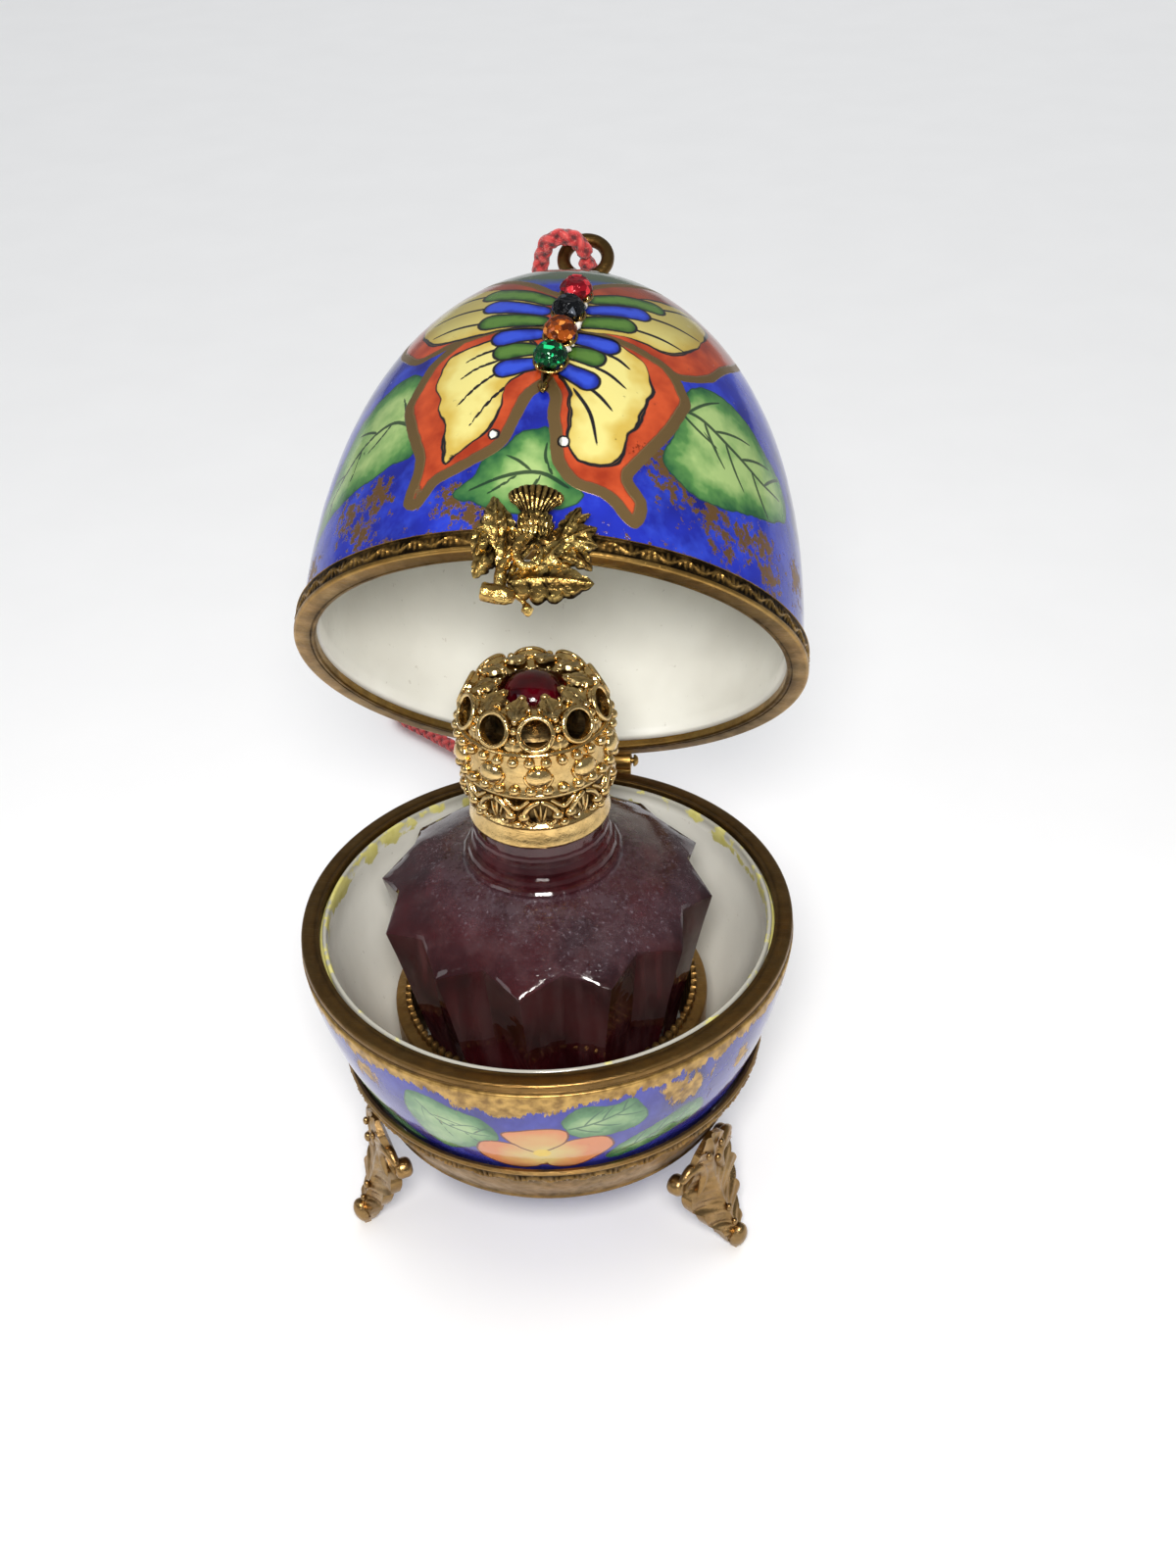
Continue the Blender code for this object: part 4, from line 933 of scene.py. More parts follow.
def make_lid_paint():
    material, w = new_material("butterfly_porcelain")
    lower, upper = brushed(w, "lower_wing"), brushed(w, "upper_wing")
    cells = w.most(brushed(w, "lower_cell", 0.34, 260), brushed(w, "upper_cell", 0.12, 400))
    below = w.sums("MINIMUM", w.minus(lower, LOWER_BORDER), w.times(upper, -1))
    rust = w.most(below, w.minus(upper, UPPER_BORDER))
    leaf = brushed(w, "leaf", 0.24, 380)
    crown = w.field("crown")
    leaf_mask, wing_mask, cell_mask = (w.above(mask, 0) for mask in (leaf, w.most(lower, upper), cells))

    colour = ground_blue(w, srgb(16, 20, 104), srgb(28, 42, 164), srgb(50, 76, 202))
    colour = w.mix(w.spread(w.plus(crown, w.stir(0.6, 300, 3)), -4.4, -1.4), colour, srgb(62, 78, 52))
    flecks = w.grain(900, 5, 0.72, (1, 1, 0.75))
    worn = w.above(w.plus(w.times(w.field("wear"), 0.26), flecks), 0.70, 0.02)
    edge_gold = w.above(w.plus(w.spread(crown, -45.5, -41, 0.30, 0), flecks), 0.70, 0.03)
    gold = w.most(worn, edge_gold)
    colour = w.mix(gold, colour, srgb(132, 98, 60))
    green = painted_leaf(w, leaf, (srgb(30, 80, 46), srgb(80, 128, 66), srgb(150, 176, 110)),
                         0.35, 0.9, srgb(20, 42, 30), 0.17, srgb(28, 60, 44))
    colour = w.mix(wing_mask, w.mix(leaf_mask, colour, green), BRONZE)
    fire = w.mix(w.clouds(260), srgb(140, 44, 18), srgb(182, 72, 34))
    # Painted shade: the orange-red border darkens towards the top of the dome.
    fire = w.mix(w.times(w.spread(crown, -14, -2), 0.7), fire, srgb(92, 44, 26))
    colour = w.mix(w.above(rust, 0), colour, fire)
    colour = w.mix(w.times(outline_of(w, rust, 0.1), w.times(wing_mask, 0.6)), colour, srgb(52, 32, 20))
    depth = w.spread(w.plus(cells, w.stir(1, 260)), 0.2, 2.6)
    butter = w.mix(depth, srgb(186, 160, 72), srgb(206, 196, 120))
    # Painted shade: the yellow cells darken towards the top of the dome.
    butter = w.mix(w.times(w.spread(crown, -15, -9), 0.62), butter, srgb(138, 120, 52))
    colour = w.mix(cell_mask, colour, butter)
    press = w.spread(w.grain(150, 1), 0.35, 0.65, -0.1, 0.14)
    line = w.minus(w.sums("ABSOLUTE", cells), press)
    colour = w.mix(w.times(outline_of(w, line, 0.16), wing_mask), colour, INK)
    colour = w.mix(w.times(stroke_mask(w, "vein"), cell_mask), colour, INK)
    for name, low, high in (("green_finger", srgb(34, 68, 24), srgb(76, 112, 46)),
                            ("blue_finger", srgb(16, 30, 126), srgb(44, 70, 186))):
        finger = brushed(w, name, 0.04)
        body = w.mix(w.spread(w.plus(finger, w.stir(0.3, 500)), 0.1, 0.9), low, high)
        colour = inked(w, colour, finger, body, 0.17, INK)
    colour = inked(w, colour, w.plus(w.field("dot"), 0.36), srgb(226, 226, 214), 0.13, INK)
    bronze = w.times(wing_mask, w.minus(1, w.above(w.most(rust, cells), -0.1)))
    glazed(w, colour, w.most(bronze, w.times(gold, w.minus(1, leaf_mask))), inner_glaze(w))
    return material


def make_lid_porcelain():
    mesh = make_lid_mesh()
    paint_lid(mesh)
    finished_mesh("lid_porcelain", mesh, make_lid_paint(), "lid", "lid_porcelain", "lid")


make_lid_porcelain()

# %% [markdown]
# The bowl's wall draws in towards its foot, and it is rounded below like the end of an egg. A spray with
# one orange flower and its leaves is painted at the front. The top of the wall is banded with gilding that
# has worn thin and left streaks. The same spray is turned round to the back.

# %% The bowl's painting
RIM_Z = 46.4
BOWL_R = 32.2
SEAT_R = 23.4
SEAT_Z = 19
POLE_Z = 14.5
FLOOR_Z = 18


def bowl_radius(height):
    fall = np.clip((RIM_Z - np.asarray(height, float)) / (RIM_Z - SEAT_Z), 0, 1)
    return BOWL_R - (BOWL_R - SEAT_R) * fall ** 1.6


BOWL_LEAVES = (
    [(-25, 41.4), (-19, 41.5), (-14, 40.4), (-8, 39.4), (-5, 36.8), (-5, 34.9), (-10, 32.4), (-19, 29.5),
     (-24, 30.3), (-27, 33.8), (-28, 37.1)],
    [(10, 39.2), (12, 41.4), (16, 42.2), (22, 41.6), (26, 42.2), (29, 39.4), (30, 37.1), (28, 35.5),
     (22, 34.9), (16, 35.1), (12, 36.3)],
    [(21, 29.5), (26, 32.2), (32, 33.8), (40, 35.4), (46, 34.8), (47, 31.2), (38, 30), (30, 28.6),
     (23, 28)],
    [(-28, 28), (-34, 31), (-42, 33.5), (-50, 33.8), (-52, 31), (-44, 28.6), (-35, 27)],
)
BOWL_MIDRIBS = ([(-24, 40), (-19, 36.6), (-12, 35.4), (-6, 35.6)],
                [(11, 37.6), (17, 38.3), (23, 39.6), (27, 41)],
                [(22, 29), (31, 31), (39, 32.5), (45, 33)], [(-30, 28.4), (-38, 30.6), (-49, 32.4)])
TOP_PETAL = [(-4, 36.4), (1, 37.6), (7, 38.1), (11, 37.3), (11, 35), (8, 33.2), (4, 32.2), (0, 33.4)]
SIDE_PETALS = (
    [(-10, 33.3), (-6, 34.4), (0, 33.8), (4.4, 32.2), (5.2, 30.2), (4, 28.2), (-1, 27.4), (-6, 28),
     (-11, 30.3)],
    [(6.2, 32.4), (8, 33.6), (13, 35.1), (20, 34.8), (22.5, 32.1), (19, 29.8), (13, 27.6), (7, 28),
     (5.4, 30)],
)
FLOWER_HEART = (5, 31.9)
GILT_SPOTS = [(42, 39.4), (40, 38.1), (36, 41), (-38, 40), (58, 38), (-63, 40), (135, 40), (-140, 39)]


def make_bowl_mesh():
    shoulder = RIM_Z - 1.2 - GAP
    outer = curve_rows(bowl_radius, SEAT_Z, shoulder - 0.2, 0.42)
    below = [(SEAT_R * cos(t), SEAT_Z - (SEAT_Z - POLE_Z) * sin(t))
             for t in np.radians(np.linspace(90, 4, 16))]
    below[0] = (0, POLE_Z)
    lip = [(float(bowl_radius(shoulder)) - 0.2, shoulder), (29.3, shoulder), (29.3, RIM_Z - GAP - 0.2),
           (29.1, RIM_Z - GAP), (28.9, RIM_Z - GAP), (28.7, RIM_Z - GAP - 0.2)]
    wall = [(min(float(bowl_radius(z)) - 2.9, 28.7), z) for z in np.linspace(44, 21.5, 16)]
    bottom = [(20.6, 19.9), (19.6, 19), (18.2, 18.3), (16.6, FLOOR_Z), (10, FLOOR_Z), (0, FLOOR_Z)]
    return canvas_mesh("bowl_porcelain", below + outer + lip + wall + bottom,
                       ((-84, 84, 240), (84, 276, 120)))


def outside_bowl(radius, height):
    under = SEAT_Z - (SEAT_Z - POLE_Z) * np.sqrt(np.clip(1 - (radius / SEAT_R) ** 2, 0, 1))
    return np.where(height > SEAT_Z, radius > bowl_radius(height) - 0.8, height < under + 0.5)


def make_bowl_paint():
    material, w = new_material("flower_porcelain")
    leaf = brushed(w, "leaf", 0.14)
    colour = ground_blue(w, srgb(30, 28, 96), srgb(48, 48, 138), srgb(70, 78, 176))
    green = painted_leaf(w, leaf, (srgb(50, 96, 62), srgb(96, 136, 94), srgb(150, 176, 128)),
                         0.3, 0.8, srgb(52, 84, 70), 0.15, srgb(48, 84, 62))
    colour = w.mix(w.above(leaf, 0), colour, green)
    heart, under_rim = w.field("heart"), w.field("under_rim")
    depth = w.spread(w.plus(heart, w.stir(1, 300)), 1.5, 6)
    petal = w.mix(depth, srgb(192, 172, 108), srgb(194, 122, 80))
    for name in ("side_petal", "top_petal"):
        colour = inked(w, colour, brushed(w, name), petal, 0.13, srgb(96, 52, 36))
    colour = w.mix(w.above(w.times(heart, -1), -1.1, 0.1), colour, srgb(206, 176, 74))
    flecks = w.grain(520, 5, 0.7, (1, 1, 0.25))
    band = w.above(w.plus(under_rim, w.spread(flecks, 0.3, 0.7, -1.7, 1.5)), -3.5, 0.12)
    spot = w.above(w.plus(w.times(w.field("spot"), 0.34), flecks), 0.70, 0.03)
    gold = w.most(band, spot)
    colour = w.mix(gold, colour, w.mix(w.clouds(800), srgb(128, 98, 52), srgb(188, 152, 86)))
    cement = w.above(w.plus(w.field("cement"), w.stir(0.8, 260, 4, 0.6)), 0, 0.1)
    # Painted shade: the inside glaze turns grey at the lip, and the grey reaches lower at the front.
    glaze = w.mix(w.spread(under_rim, -2.2, -0.9), inner_glaze(w), srgb(168, 166, 156))
    inside = w.mix(cement, glaze, w.mix(w.grain(700, 3), srgb(190, 182, 84), srgb(222, 216, 150)))
    glazed(w, colour, gold, inside)
    return material


def make_bowl_porcelain():
    mesh = make_bowl_mesh()
    canvas = Canvas(mesh, bowl_radius, outside_bowl, 38)
    veins = [vein for rib in BOWL_MIDRIBS for vein in leaf_veins(rib, 3, 4, bowl_radius)]
    canvas.leaves(BOWL_LEAVES, BOWL_MIDRIBS, 0.18, veins, 0.14)
    canvas.shapes("top_petal", front_and_back([TOP_PETAL]))
    canvas.shapes("side_petal", front_and_back(SIDE_PETALS))
    canvas.patches("spot", GILT_SPOTS, 2.2)
    hearts = canvas.on_skin(np.array(front_and_back([[FLOWER_HEART]]), float)[:, 0])
    store_field(mesh, "heart", np.minimum.reduce([np.linalg.norm(canvas.at - h, axis=1) for h in hearts]))
    streaky = np.exp(-(((canvas.turn + 2 + 180) % 360 - 180) / 14) ** 2)
    store_field(mesh, "under_rim", canvas.at[:, 2] - RIM_Z + 1.9 * streaky)
    behind = np.cos(np.radians(canvas.turn + 118)) - 0.2
    beside = 0.5 * np.cos(np.radians(canvas.turn - 95)) - 0.36
    lip = 0.75 - np.abs(canvas.at[:, 2] - 44.9) * 0.85
    store_field(mesh, "cement", np.minimum(lip, np.maximum(behind, beside) * 2))
    finished_mesh("bowl_porcelain", mesh, make_bowl_paint(), "base", "bowl_porcelain", "bowl", sharp=60)


make_bowl_porcelain()

# %% [markdown]
# The mounts are thin cast brass, chased with foliage and dark with age in the hollows. Chasing is real
# relief here: the ring is spun with many steps, and every vertex of its face moves in or out by a rule.
# The rule also stores how high the vertex stands, and the patina reads that number, so the dark settles
# in the hollows by itself.

# %% Brass
def make_brass(name, dark, bright, rough, age=0.5, scale=900, relief=True, wear=0.35):
    """Old brass whose tint drifts, dark in the hollows and scuffed. Without relief it ages evenly."""
    material, w = new_material(name, {"Metallic": 1})
    height = w.field("relief") if relief else 0.6
    patina = w.group(patina_group, {"Relief": height, "Scale": scale, "Age": age})
    scuffs = w.group(scuffs_group, {"Density": wear})
    redder = tuple(value * share for value, share in zip(bright, (1, 0.91, 0.78)))
    w.surface(w.mix(patina["Dark"], w.mix(w.clouds(130, 3, 0.6), bright, redder), dark),
              w.plus(w.plus(patina["Rough"], rough), w.times(scuffs["Mask"], 0.12)),
              w.plus(patina["Height"], scuffs["Height"]), 0.4, 0.00012)
    return material


def chase(bm, rule):
    """Moves each vertex outwards by the rule's first number and stores the second as its relief."""
    relief = bm.verts.layers.float.new("relief")
    for vert in bm.verts:
        radius = hypot(vert.co.x, vert.co.y)
        turn = atan2(vert.co.x, -vert.co.y)
        moved, height = rule(turn, radius, vert.co.z)
        if moved and radius > 0.1:
            vert.co.x *= (radius + moved) / radius
            vert.co.y *= (radius + moved) / radius
        vert[relief] = height


def hump(value, middle, half_width):
    return exp(-((value - middle) / half_width) ** 2)


def foliage(along, up, pitch):
    """A running leaf scroll: a wavy stem with a three-lobed leaf in each of its bends. 0 low, 1 high."""
    phase = along / pitch
    bend = phase * 2
    number = floor(bend)
    across = (bend - number - 0.5) * pitch / 2
    side = 1 if number % 2 else -1
    stem = 0.5 + 0.24 * sin(2 * pi * phase)
    height = 0.85 * hump(up, stem, 0.11)
    tilt = up - (0.5 - side * 0.14)
    for lean, reach in ((-0.5, 0.30), (0, 0.40), (0.5, 0.30)):
        lobe = across - lean * (1.2 + side * tilt)
        height = max(height, hump(lobe, 0, 0.2) * hump(tilt, side * 0.1, reach))
    vein = 0.25 * hump(across, 0, 0.06) * hump(tilt, 0, 0.3)
    return max(0, min(1, height) - vein)


mount_brass = make_brass("mount_brass", srgb(30, 22, 12), srgb(172, 138, 78), 0.22, age=0.55)
rim_brass = make_brass("rim_brass", srgb(44, 33, 20), srgb(132, 104, 62), 0.26, age=0.45)
ring_brass = make_brass("base_ring_brass", srgb(44, 34, 22), srgb(156, 126, 80), 0.3, age=0.42)
plain_brass = make_brass("plain_brass", srgb(60, 44, 22), srgb(178, 146, 84), 0.20, age=0.35, relief=False)
print("foliage height at two places", round(foliage(0.3, 0.5, 4.6), 2), round(foliage(1.15, 0.4, 4.6), 2))

# %% [markdown]
# The bowl's rim is a plain flat ring with a soft outer edge and one fine line turned in its top. The lid's
# mount is an angle of brass: a flange under the porcelain, and a band round it with the chased foliage
# between two plain fillets. A notch at the back leaves room for the hinge.

# %% Rims
RIM_R = 32
LIP_R = 29.3
MOUNT_R = 32.8
MOUNT_INNER_R = 30
MOUNT_BAND = 2.7
MOUNT_FLANGE = 1.1
HINGE_ROOM = 8.35                 # half the notch's width, and its radius round the pin
KNUCKLE_ROOM = 1.6


def make_bowl_rim():
    inner, foot = LIP_R + GAP, RIM_Z - 1.2
    top = round_corner((inner, RIM_Z), (inner, foot), (RIM_R, RIM_Z), 0.2, 3)
    top += [(30, RIM_Z), (30.15, RIM_Z - 0.05), (30.3, RIM_Z - 0.05), (30.45, RIM_Z), (31, RIM_Z)]
    top += round_corner((RIM_R, RIM_Z), (31, RIM_Z), (RIM_R, foot), 0.55, 6)
    profile = top + [(RIM_R, foot + 0.35), (RIM_R - 0.12, foot + 0.28), (RIM_R - 0.12, foot + 0.2),
                     (RIM_R, foot + 0.12), (RIM_R, foot), (inner, foot)]
    bm = bmesh.new()
    spin_profile(bm, profile, ((0, 360, 240),))
    chase(bm, lambda turn, radius, z: (0, 0.4 if (30.12 < radius < 30.38 and z > 46.2) or z < 45.52 else
                                       0.55 + 0.35 * hump(radius, 31.3, 0.6)))
    finished("bowl_rim_turned", bm, rim_brass, "base", "rim_brass", "bowl_rim")


def mount_rule(turn, radius, z):
    """The chased band of the lid's mount, on the outside only."""
    if radius < 32.55 or z < 0.55 or z > 2.55:
        ring = 0.72 if radius > 32.5 else 0.62
        groove = hump(radius, 30.6, 0.2) if z < 0.2 else 0
        return 0, ring - 0.35 * groove
    up = (z - 0.75) / 1.6
    if up < 0 or up > 1:
        return -0.14, 0.12
    height = foliage(turn * MOUNT_R, up, 4.6)
    wobble = 0.12 * noise.noise(Vector((turn * 40, z * 2, 0)))
    return -0.26 + 0.32 * height, max(0, min(1, 0.05 + 0.9 * height + wobble))


def make_lid_rim():
    band_inner = LID_R + GAP
    bottom = [(MOUNT_INNER_R, MOUNT_FLANGE)]
    bottom += round_corner((MOUNT_INNER_R, 0), (MOUNT_INNER_R, MOUNT_FLANGE), (MOUNT_R, 0), 0.4, 4)
    bottom += [(30.5, 0), (30.55, 0.08), (30.65, 0.08), (30.75, 0), (31.6, 0)]
    bottom += round_corner((MOUNT_R, 0), (MOUNT_INNER_R, 0), (MOUNT_R, MOUNT_BAND), 0.42, 4)
    face = [(MOUNT_R, 0.5), *[(MOUNT_R, z) for z in np.linspace(0.58, 2.5, 15)], (MOUNT_R, 2.58),
            (MOUNT_R - 0.08, MOUNT_BAND - 0.04), (MOUNT_R - 0.2, MOUNT_BAND), (band_inner, MOUNT_BAND)]
    profile = bottom + face + [(band_inner, MOUNT_FLANGE)]
    bm = bmesh.new()
    spin_profile(bm, profile, ((0, 360, 900),))
    chase(bm, mount_rule)
    for x in (-HINGE_ROOM, HINGE_ROOM):
        bmesh.ops.bisect_plane(bm, geom=bm.verts[:] + bm.edges[:] + bm.faces[:], dist=0.0001,
                               plane_co=(x, 0, 0), plane_no=(1, 0, 0))
    for vert in bm.verts:
        if abs(vert.co.x) < HINGE_ROOM and vert.co.y > 0:
            off, up = vert.co.y - pin_y, vert.co.z + GAP / 2
            if hypot(off, up) < KNUCKLE_ROOM:
                vert.co.z = sqrt(KNUCKLE_ROOM ** 2 - off ** 2) - GAP / 2
    finished("lid_rim_chased", bm, mount_brass, "lid", "mount_brass", "lid_rim")


make_bowl_rim()
make_lid_rim()

# %% [markdown]
# The base ring wedges round the bowl's foot and carries the three feet. Its face has a row of small
# leaves with a broad plain band below. The holder ring stands on the bowl's floor round the bottle's
# foot. Inside its flat ledge stands an edge that is cut into ninety small teeth.

# %% Base ring and holder ring
RING_TOP_Z = 27.6
RING_FOOT_Z = 18.9
LEAF_ROW_Z = 24.8
HOLDER_EDGE_Z = 33.3


def ring_face(z, extra):
    return float(bowl_radius(z)) + GAP + extra


def base_ring_rule(turn, radius, z):
    if radius < ring_face(z, 0.45) or z < 19.2:
        return 0, 0.5
    if z > LEAF_ROW_Z:
        up = (z - LEAF_ROW_Z) / 2.1
        if up > 1:
            return 0, 0.75
        height = foliage(turn * 27.5, up, 4.1)
        return -0.24 + 0.62 * height, 0.02 + 0.98 * height
    roll = 0.5 + 0.5 * cos((z - 22.2) * 0.95)
    hammer = noise.noise(Vector((turn * 30, z, 3)))
    return 0.04 * hammer - 0.15 * (1 - roll), max(0, min(1, 0.42 + 0.3 * roll + 0.25 * hammer))


def make_base_ring():
    extras = {27.6: 0.5, 27.3: 0.85, 26.9: 1, 24.4: 0.9, 20.4: 1, 19.6: 1.1}
    heights = [27.6, 27.45, 27.3, 27.1, *np.linspace(26.9, 19.4, 36), 19.1]
    face = [(ring_face(z, float(np.interp(z, sorted(extras), [extras[k] for k in sorted(extras)]))), float(z))
            for z in heights]
    foot = [(SEAT_R + GAP + 1.2, RING_FOOT_Z), (SEAT_R + GAP, RING_FOOT_Z)]
    inner = [(ring_face(z, 0.08), float(z)) for z in np.linspace(19.6, RING_TOP_Z, 9)]
    bm = bmesh.new()
    spin_profile(bm, face + foot + inner, ((0, 360, 540),))
    chase(bm, base_ring_rule)
    finished("base_ring_chased", bm, ring_brass, "base", "base_brass", "base_ring")


def make_holder_ring():
    collar = [(19.35, 34.7), (19.4, 34.4), (19.4, 34.1), (19.4, 33.8), (19.42, 33.5), (19.5, HOLDER_EDGE_Z)]
    ledge = round_corner((21, 33), (19.6, 33.2), (20.9, 29), 0.35, 3)
    profile = collar + ledge + [(20.9, 29), (20.72, 28.8), (20.72, 28.4), (20.85, 28.2), (20.7, 21),
                                (18.8, 21), (18.8, 33.5), (18.8, 34.1), (18.85, 34.7), (19.1, 34.8)]
    bm = bmesh.new()
    spin_profile(bm, profile, ((0, 360, 720),))
    relief = bm.verts.layers.float.new("relief")
    for vert in bm.verts:
        tooth = 0.5 + 0.5 * cos(90 * atan2(vert.co.x, -vert.co.y))
        above_edge = vert.co.z - HOLDER_EDGE_Z - 0.15
        height = 0.8 if above_edge < 0 else 0.1 + 0.9 * tooth
        if above_edge > 0:
            vert.co.z -= above_edge * 0.75 * (1 - min(1, 1.6 * tooth))
        if above_edge > 0 and hypot(vert.co.x, vert.co.y) > 19.2:
            grow = 1 + 0.018 * min(1, 1.4 * tooth) - 0.006
            vert.co.x *= grow
            vert.co.y *= grow
        vert[relief] = height
    finished("holder_ring_toothed", bm, holder_brass, "base", "holder_brass", "holder_ring")


holder_brass = make_brass("holder_brass", srgb(38, 28, 14), srgb(158, 124, 74), 0.24, age=0.5)
make_base_ring()
make_holder_ring()

# %% [markdown]
# The feet and the gilt castings need three more tools: a tube swept through points, a leaf, and a short
# collar. The tube and the leaf both start as a grid that is wrapped round, so each is closed once its
# doubles are merged. Tubes and leaves store their own relief, and other shapes are given one.

# %% Tools for castings
def new_casting():
    bm = bmesh.new()
    return bm, bm.verts.layers.float.new("relief")


def raised(relief, verts, value):
    """Stores one relief for all these vertices."""
    for vert in verts:
        vert[relief] = value


def add_tube(bm, relief, points, radii, sides, step, value):
    """A tube through points. Its radius runs through the given radii, and its ends are rounded."""
    line = even_steps(smooth_curve(points, fine=20), step)[0]
    along = np.gradient(line, axis=0)
    along /= np.linalg.norm(along, axis=1)[:, None]
    side = np.cross(along[0], (0.31, 0.17, 0.93))
    frames = []
    for way in along:
        side = side - way * np.dot(side, way)
        side = side / np.linalg.norm(side)
        frames.append((side, np.cross(way, side)))
    last = len(line) - 1
    for vert in wrapped_grid(bm, len(line) + 1, sides):
        k = int(round((vert.co.x + 1) / 2 * (len(line) + 1))) - 1
        i = min(max(k, 0), last)
        turn = (vert.co.y + 1) * pi
        radius = float(np.interp(i / last, np.linspace(0, 1, len(radii)), radii))
        radius *= 0 if k < 0 or k > last else (0.72 if i in (0, last) else 1)
        one, two = frames[i]
        vert.co = Vector(line[i] + one * cos(turn) * radius + two * sin(turn) * radius)
        vert[relief] = value


def add_leaf(bm, relief, base, tip, out, width, lift, thick, arch, lobes, bite, long=26):
    """A cast leaf: a midrib, veins out to a lobed edge, and a back that follows the front."""
    base, tip, out = Vector(base), Vector(tip), Vector(out).normalized()
    along = tip - base
    across = along.cross(out).normalized()
    for vert in wrapped_grid(bm, 20, long):
        x, t = vert.co.x, (vert.co.y + 1) / 2
        front = abs(x) <= 0.6
        u = x / 0.6 if front else copysign(1 - (abs(x) - 0.6) / 0.4, x)
        swell = sin(pi * min(1, t) ** 0.8) ** 0.75 if 0 < t < 1 else 0
        phase = t * lobes - 0.35 * abs(u)
        tooth = 1 - bite * (1 - abs(sin(pi * phase)) ** 0.6)
        half = width / 2 * swell * tooth
        body = sin(pi * min(1, t * 1.02 + 0.001)) ** 0.5 if 0 < t < 1 else 0
        vein = abs(sin(pi * (t * lobes - 0.9 * abs(u)))) ** 0.5
        rise = arch * sin(pi * t)
        if front:
            rise += body * lift * (0.55 * (1 - abs(u)) + 0.25 * u * u + 0.22 * vein * abs(u)
                                   + 0.3 * hump(u, 0, 0.1))
            value = 0.25 + 0.45 * vein * min(1, 1.6 * abs(u)) + 0.6 * hump(u, 0, 0.12) + 0.15 * u * u
        else:
            rise -= body * thick
            value = 0.2
        vert.co = base + along * t + across * u * half + out * rise
        vert[relief] = max(0.02, min(1, value))


def add_collar(bm, matrix, inner, outer, deep):
    """A short round tube with eased edges, its axis on the matrix's Z."""
    corners = [(outer, -deep / 2), (outer, deep / 2), (inner, deep / 2), (inner, -deep / 2)]
    fresh = spin_profile(bm, rounded_profile(corners, (outer - inner) * 0.35, 2), ((0, 360, 28),))
    bmesh.ops.transform(bm, matrix=matrix, verts=fresh)
    return fresh


print("casting tools ready")

# %% [markdown]
# Each foot is a cast acanthus leaf that hangs from the ring and ends in a long, bulbous toe. One grid is
# wrapped into a closed section: its middle part is the leaf's front, its outer parts meet behind. The
# half width is read off a short list of stations and swells at every lobe. Fine ribs run from the midrib
# up and out to the lobes. On each side a stout curl rolls up in a round scroll.

# %% Feet
FEET = {"foot_left": (-61, 3.2), "foot_right": (61, -3.2), "foot_back": (180, 0)}
# Height, reach of the middle from the egg's axis, half width and depth of a foot, in millimetres.
FOOT_STATIONS = ((22.6, 27.2, 1, 0.9), (21.2, 27.2, 2.8, 1.3), (19, 26.9, 3.6, 1.6),
                 (17, 26.4, 5.2, 2), (15, 26.2, 5.9, 2.1), (12.8, 26.6, 5.6, 2.2),
                 (10.8, 27, 5.2, 2.2), (8.6, 27.7, 4.3, 2.1), (6.6, 28.2, 3.5, 2.1),
                 (4.4, 28.9, 2.4, 2.3), (2.2, 29.5, 1.8, 2.4), (0.9, 29.8, 1.3, 1.9),
                 (0.5, 29.9, 0.9, 1.2))
FOOT_TALL = 22.6
FOOT_SCROLL = (5.4, 25.2, 16.2)
FOOT_CURL = ((0.5, -0.9, 1.3), (-1, -1.2, 2.3), (-2.6, -1.5, 1.9), (-3.5, -1.6, 0.2), (-3, -1.7, -1.8),
             (-2.2, -1.6, -3.2))
# Across, out, height and radius of the knobs down a foot's midrib.
FOOT_KNOBS = ((0, -29.9, 5.2, 0.5), (0, -29.2, 8, 0.55), (0, -28.3, 18.6, 0.6),
              (1.5, -28, 20.3, 0.5), (-1.5, -28, 20.3, 0.5))


def foot_place(t, height, sway):
    """A point of the foot's closed section, t from -1 to 1 round it, and its relief."""
    rows = FOOT_STATIONS[::-1]
    heights = [row[0] for row in rows]
    reach, half, depth = (float(np.interp(height, heights, [row[k] for row in rows])) for k in (1, 2, 3))
    lobe = abs(sin(pi * (height - 13.75) / 4.3)) ** 0.6
    half *= 0.86 + 0.2 * lobe if height > 3.6 else 0.9
    if abs(t) <= 0.7:
        u = t / 0.7
        flank = 1 - abs(u)
        rib = cos(2 * pi * (height - 1.9 * abs(u) * half / 3) / 1.43)
        cut = 2 * abs(sin(pi * (height - 13.75 - 1.4 * abs(u)) / 4.3)) ** 0.8 - 1
        out = 0.42 * flank ** 1.1 + 0.1 * abs(u) ** 3 + 0.18 * cut * abs(u) ** 0.8
        out += 0.05 * rib * 4 * abs(u) * flank + 0.10 * hump(u, 0, 0.12)
        relief = 0.45 + 0.35 * cut * abs(u) + 0.25 * rib * min(1, 2 * abs(u)) + 0.4 * hump(u, 0, 0.14)
        relief -= 0.5 * hump(abs(u), 0.26, 0.12)
    else:
        u = copysign(1 - (abs(t) - 0.7) / 0.3, t)
        out, relief = -0.5, 0.3
    shift = sway * height / FOOT_TALL
    return Vector((shift + u * half, -(reach + out * depth), height)), max(0, min(1, relief))


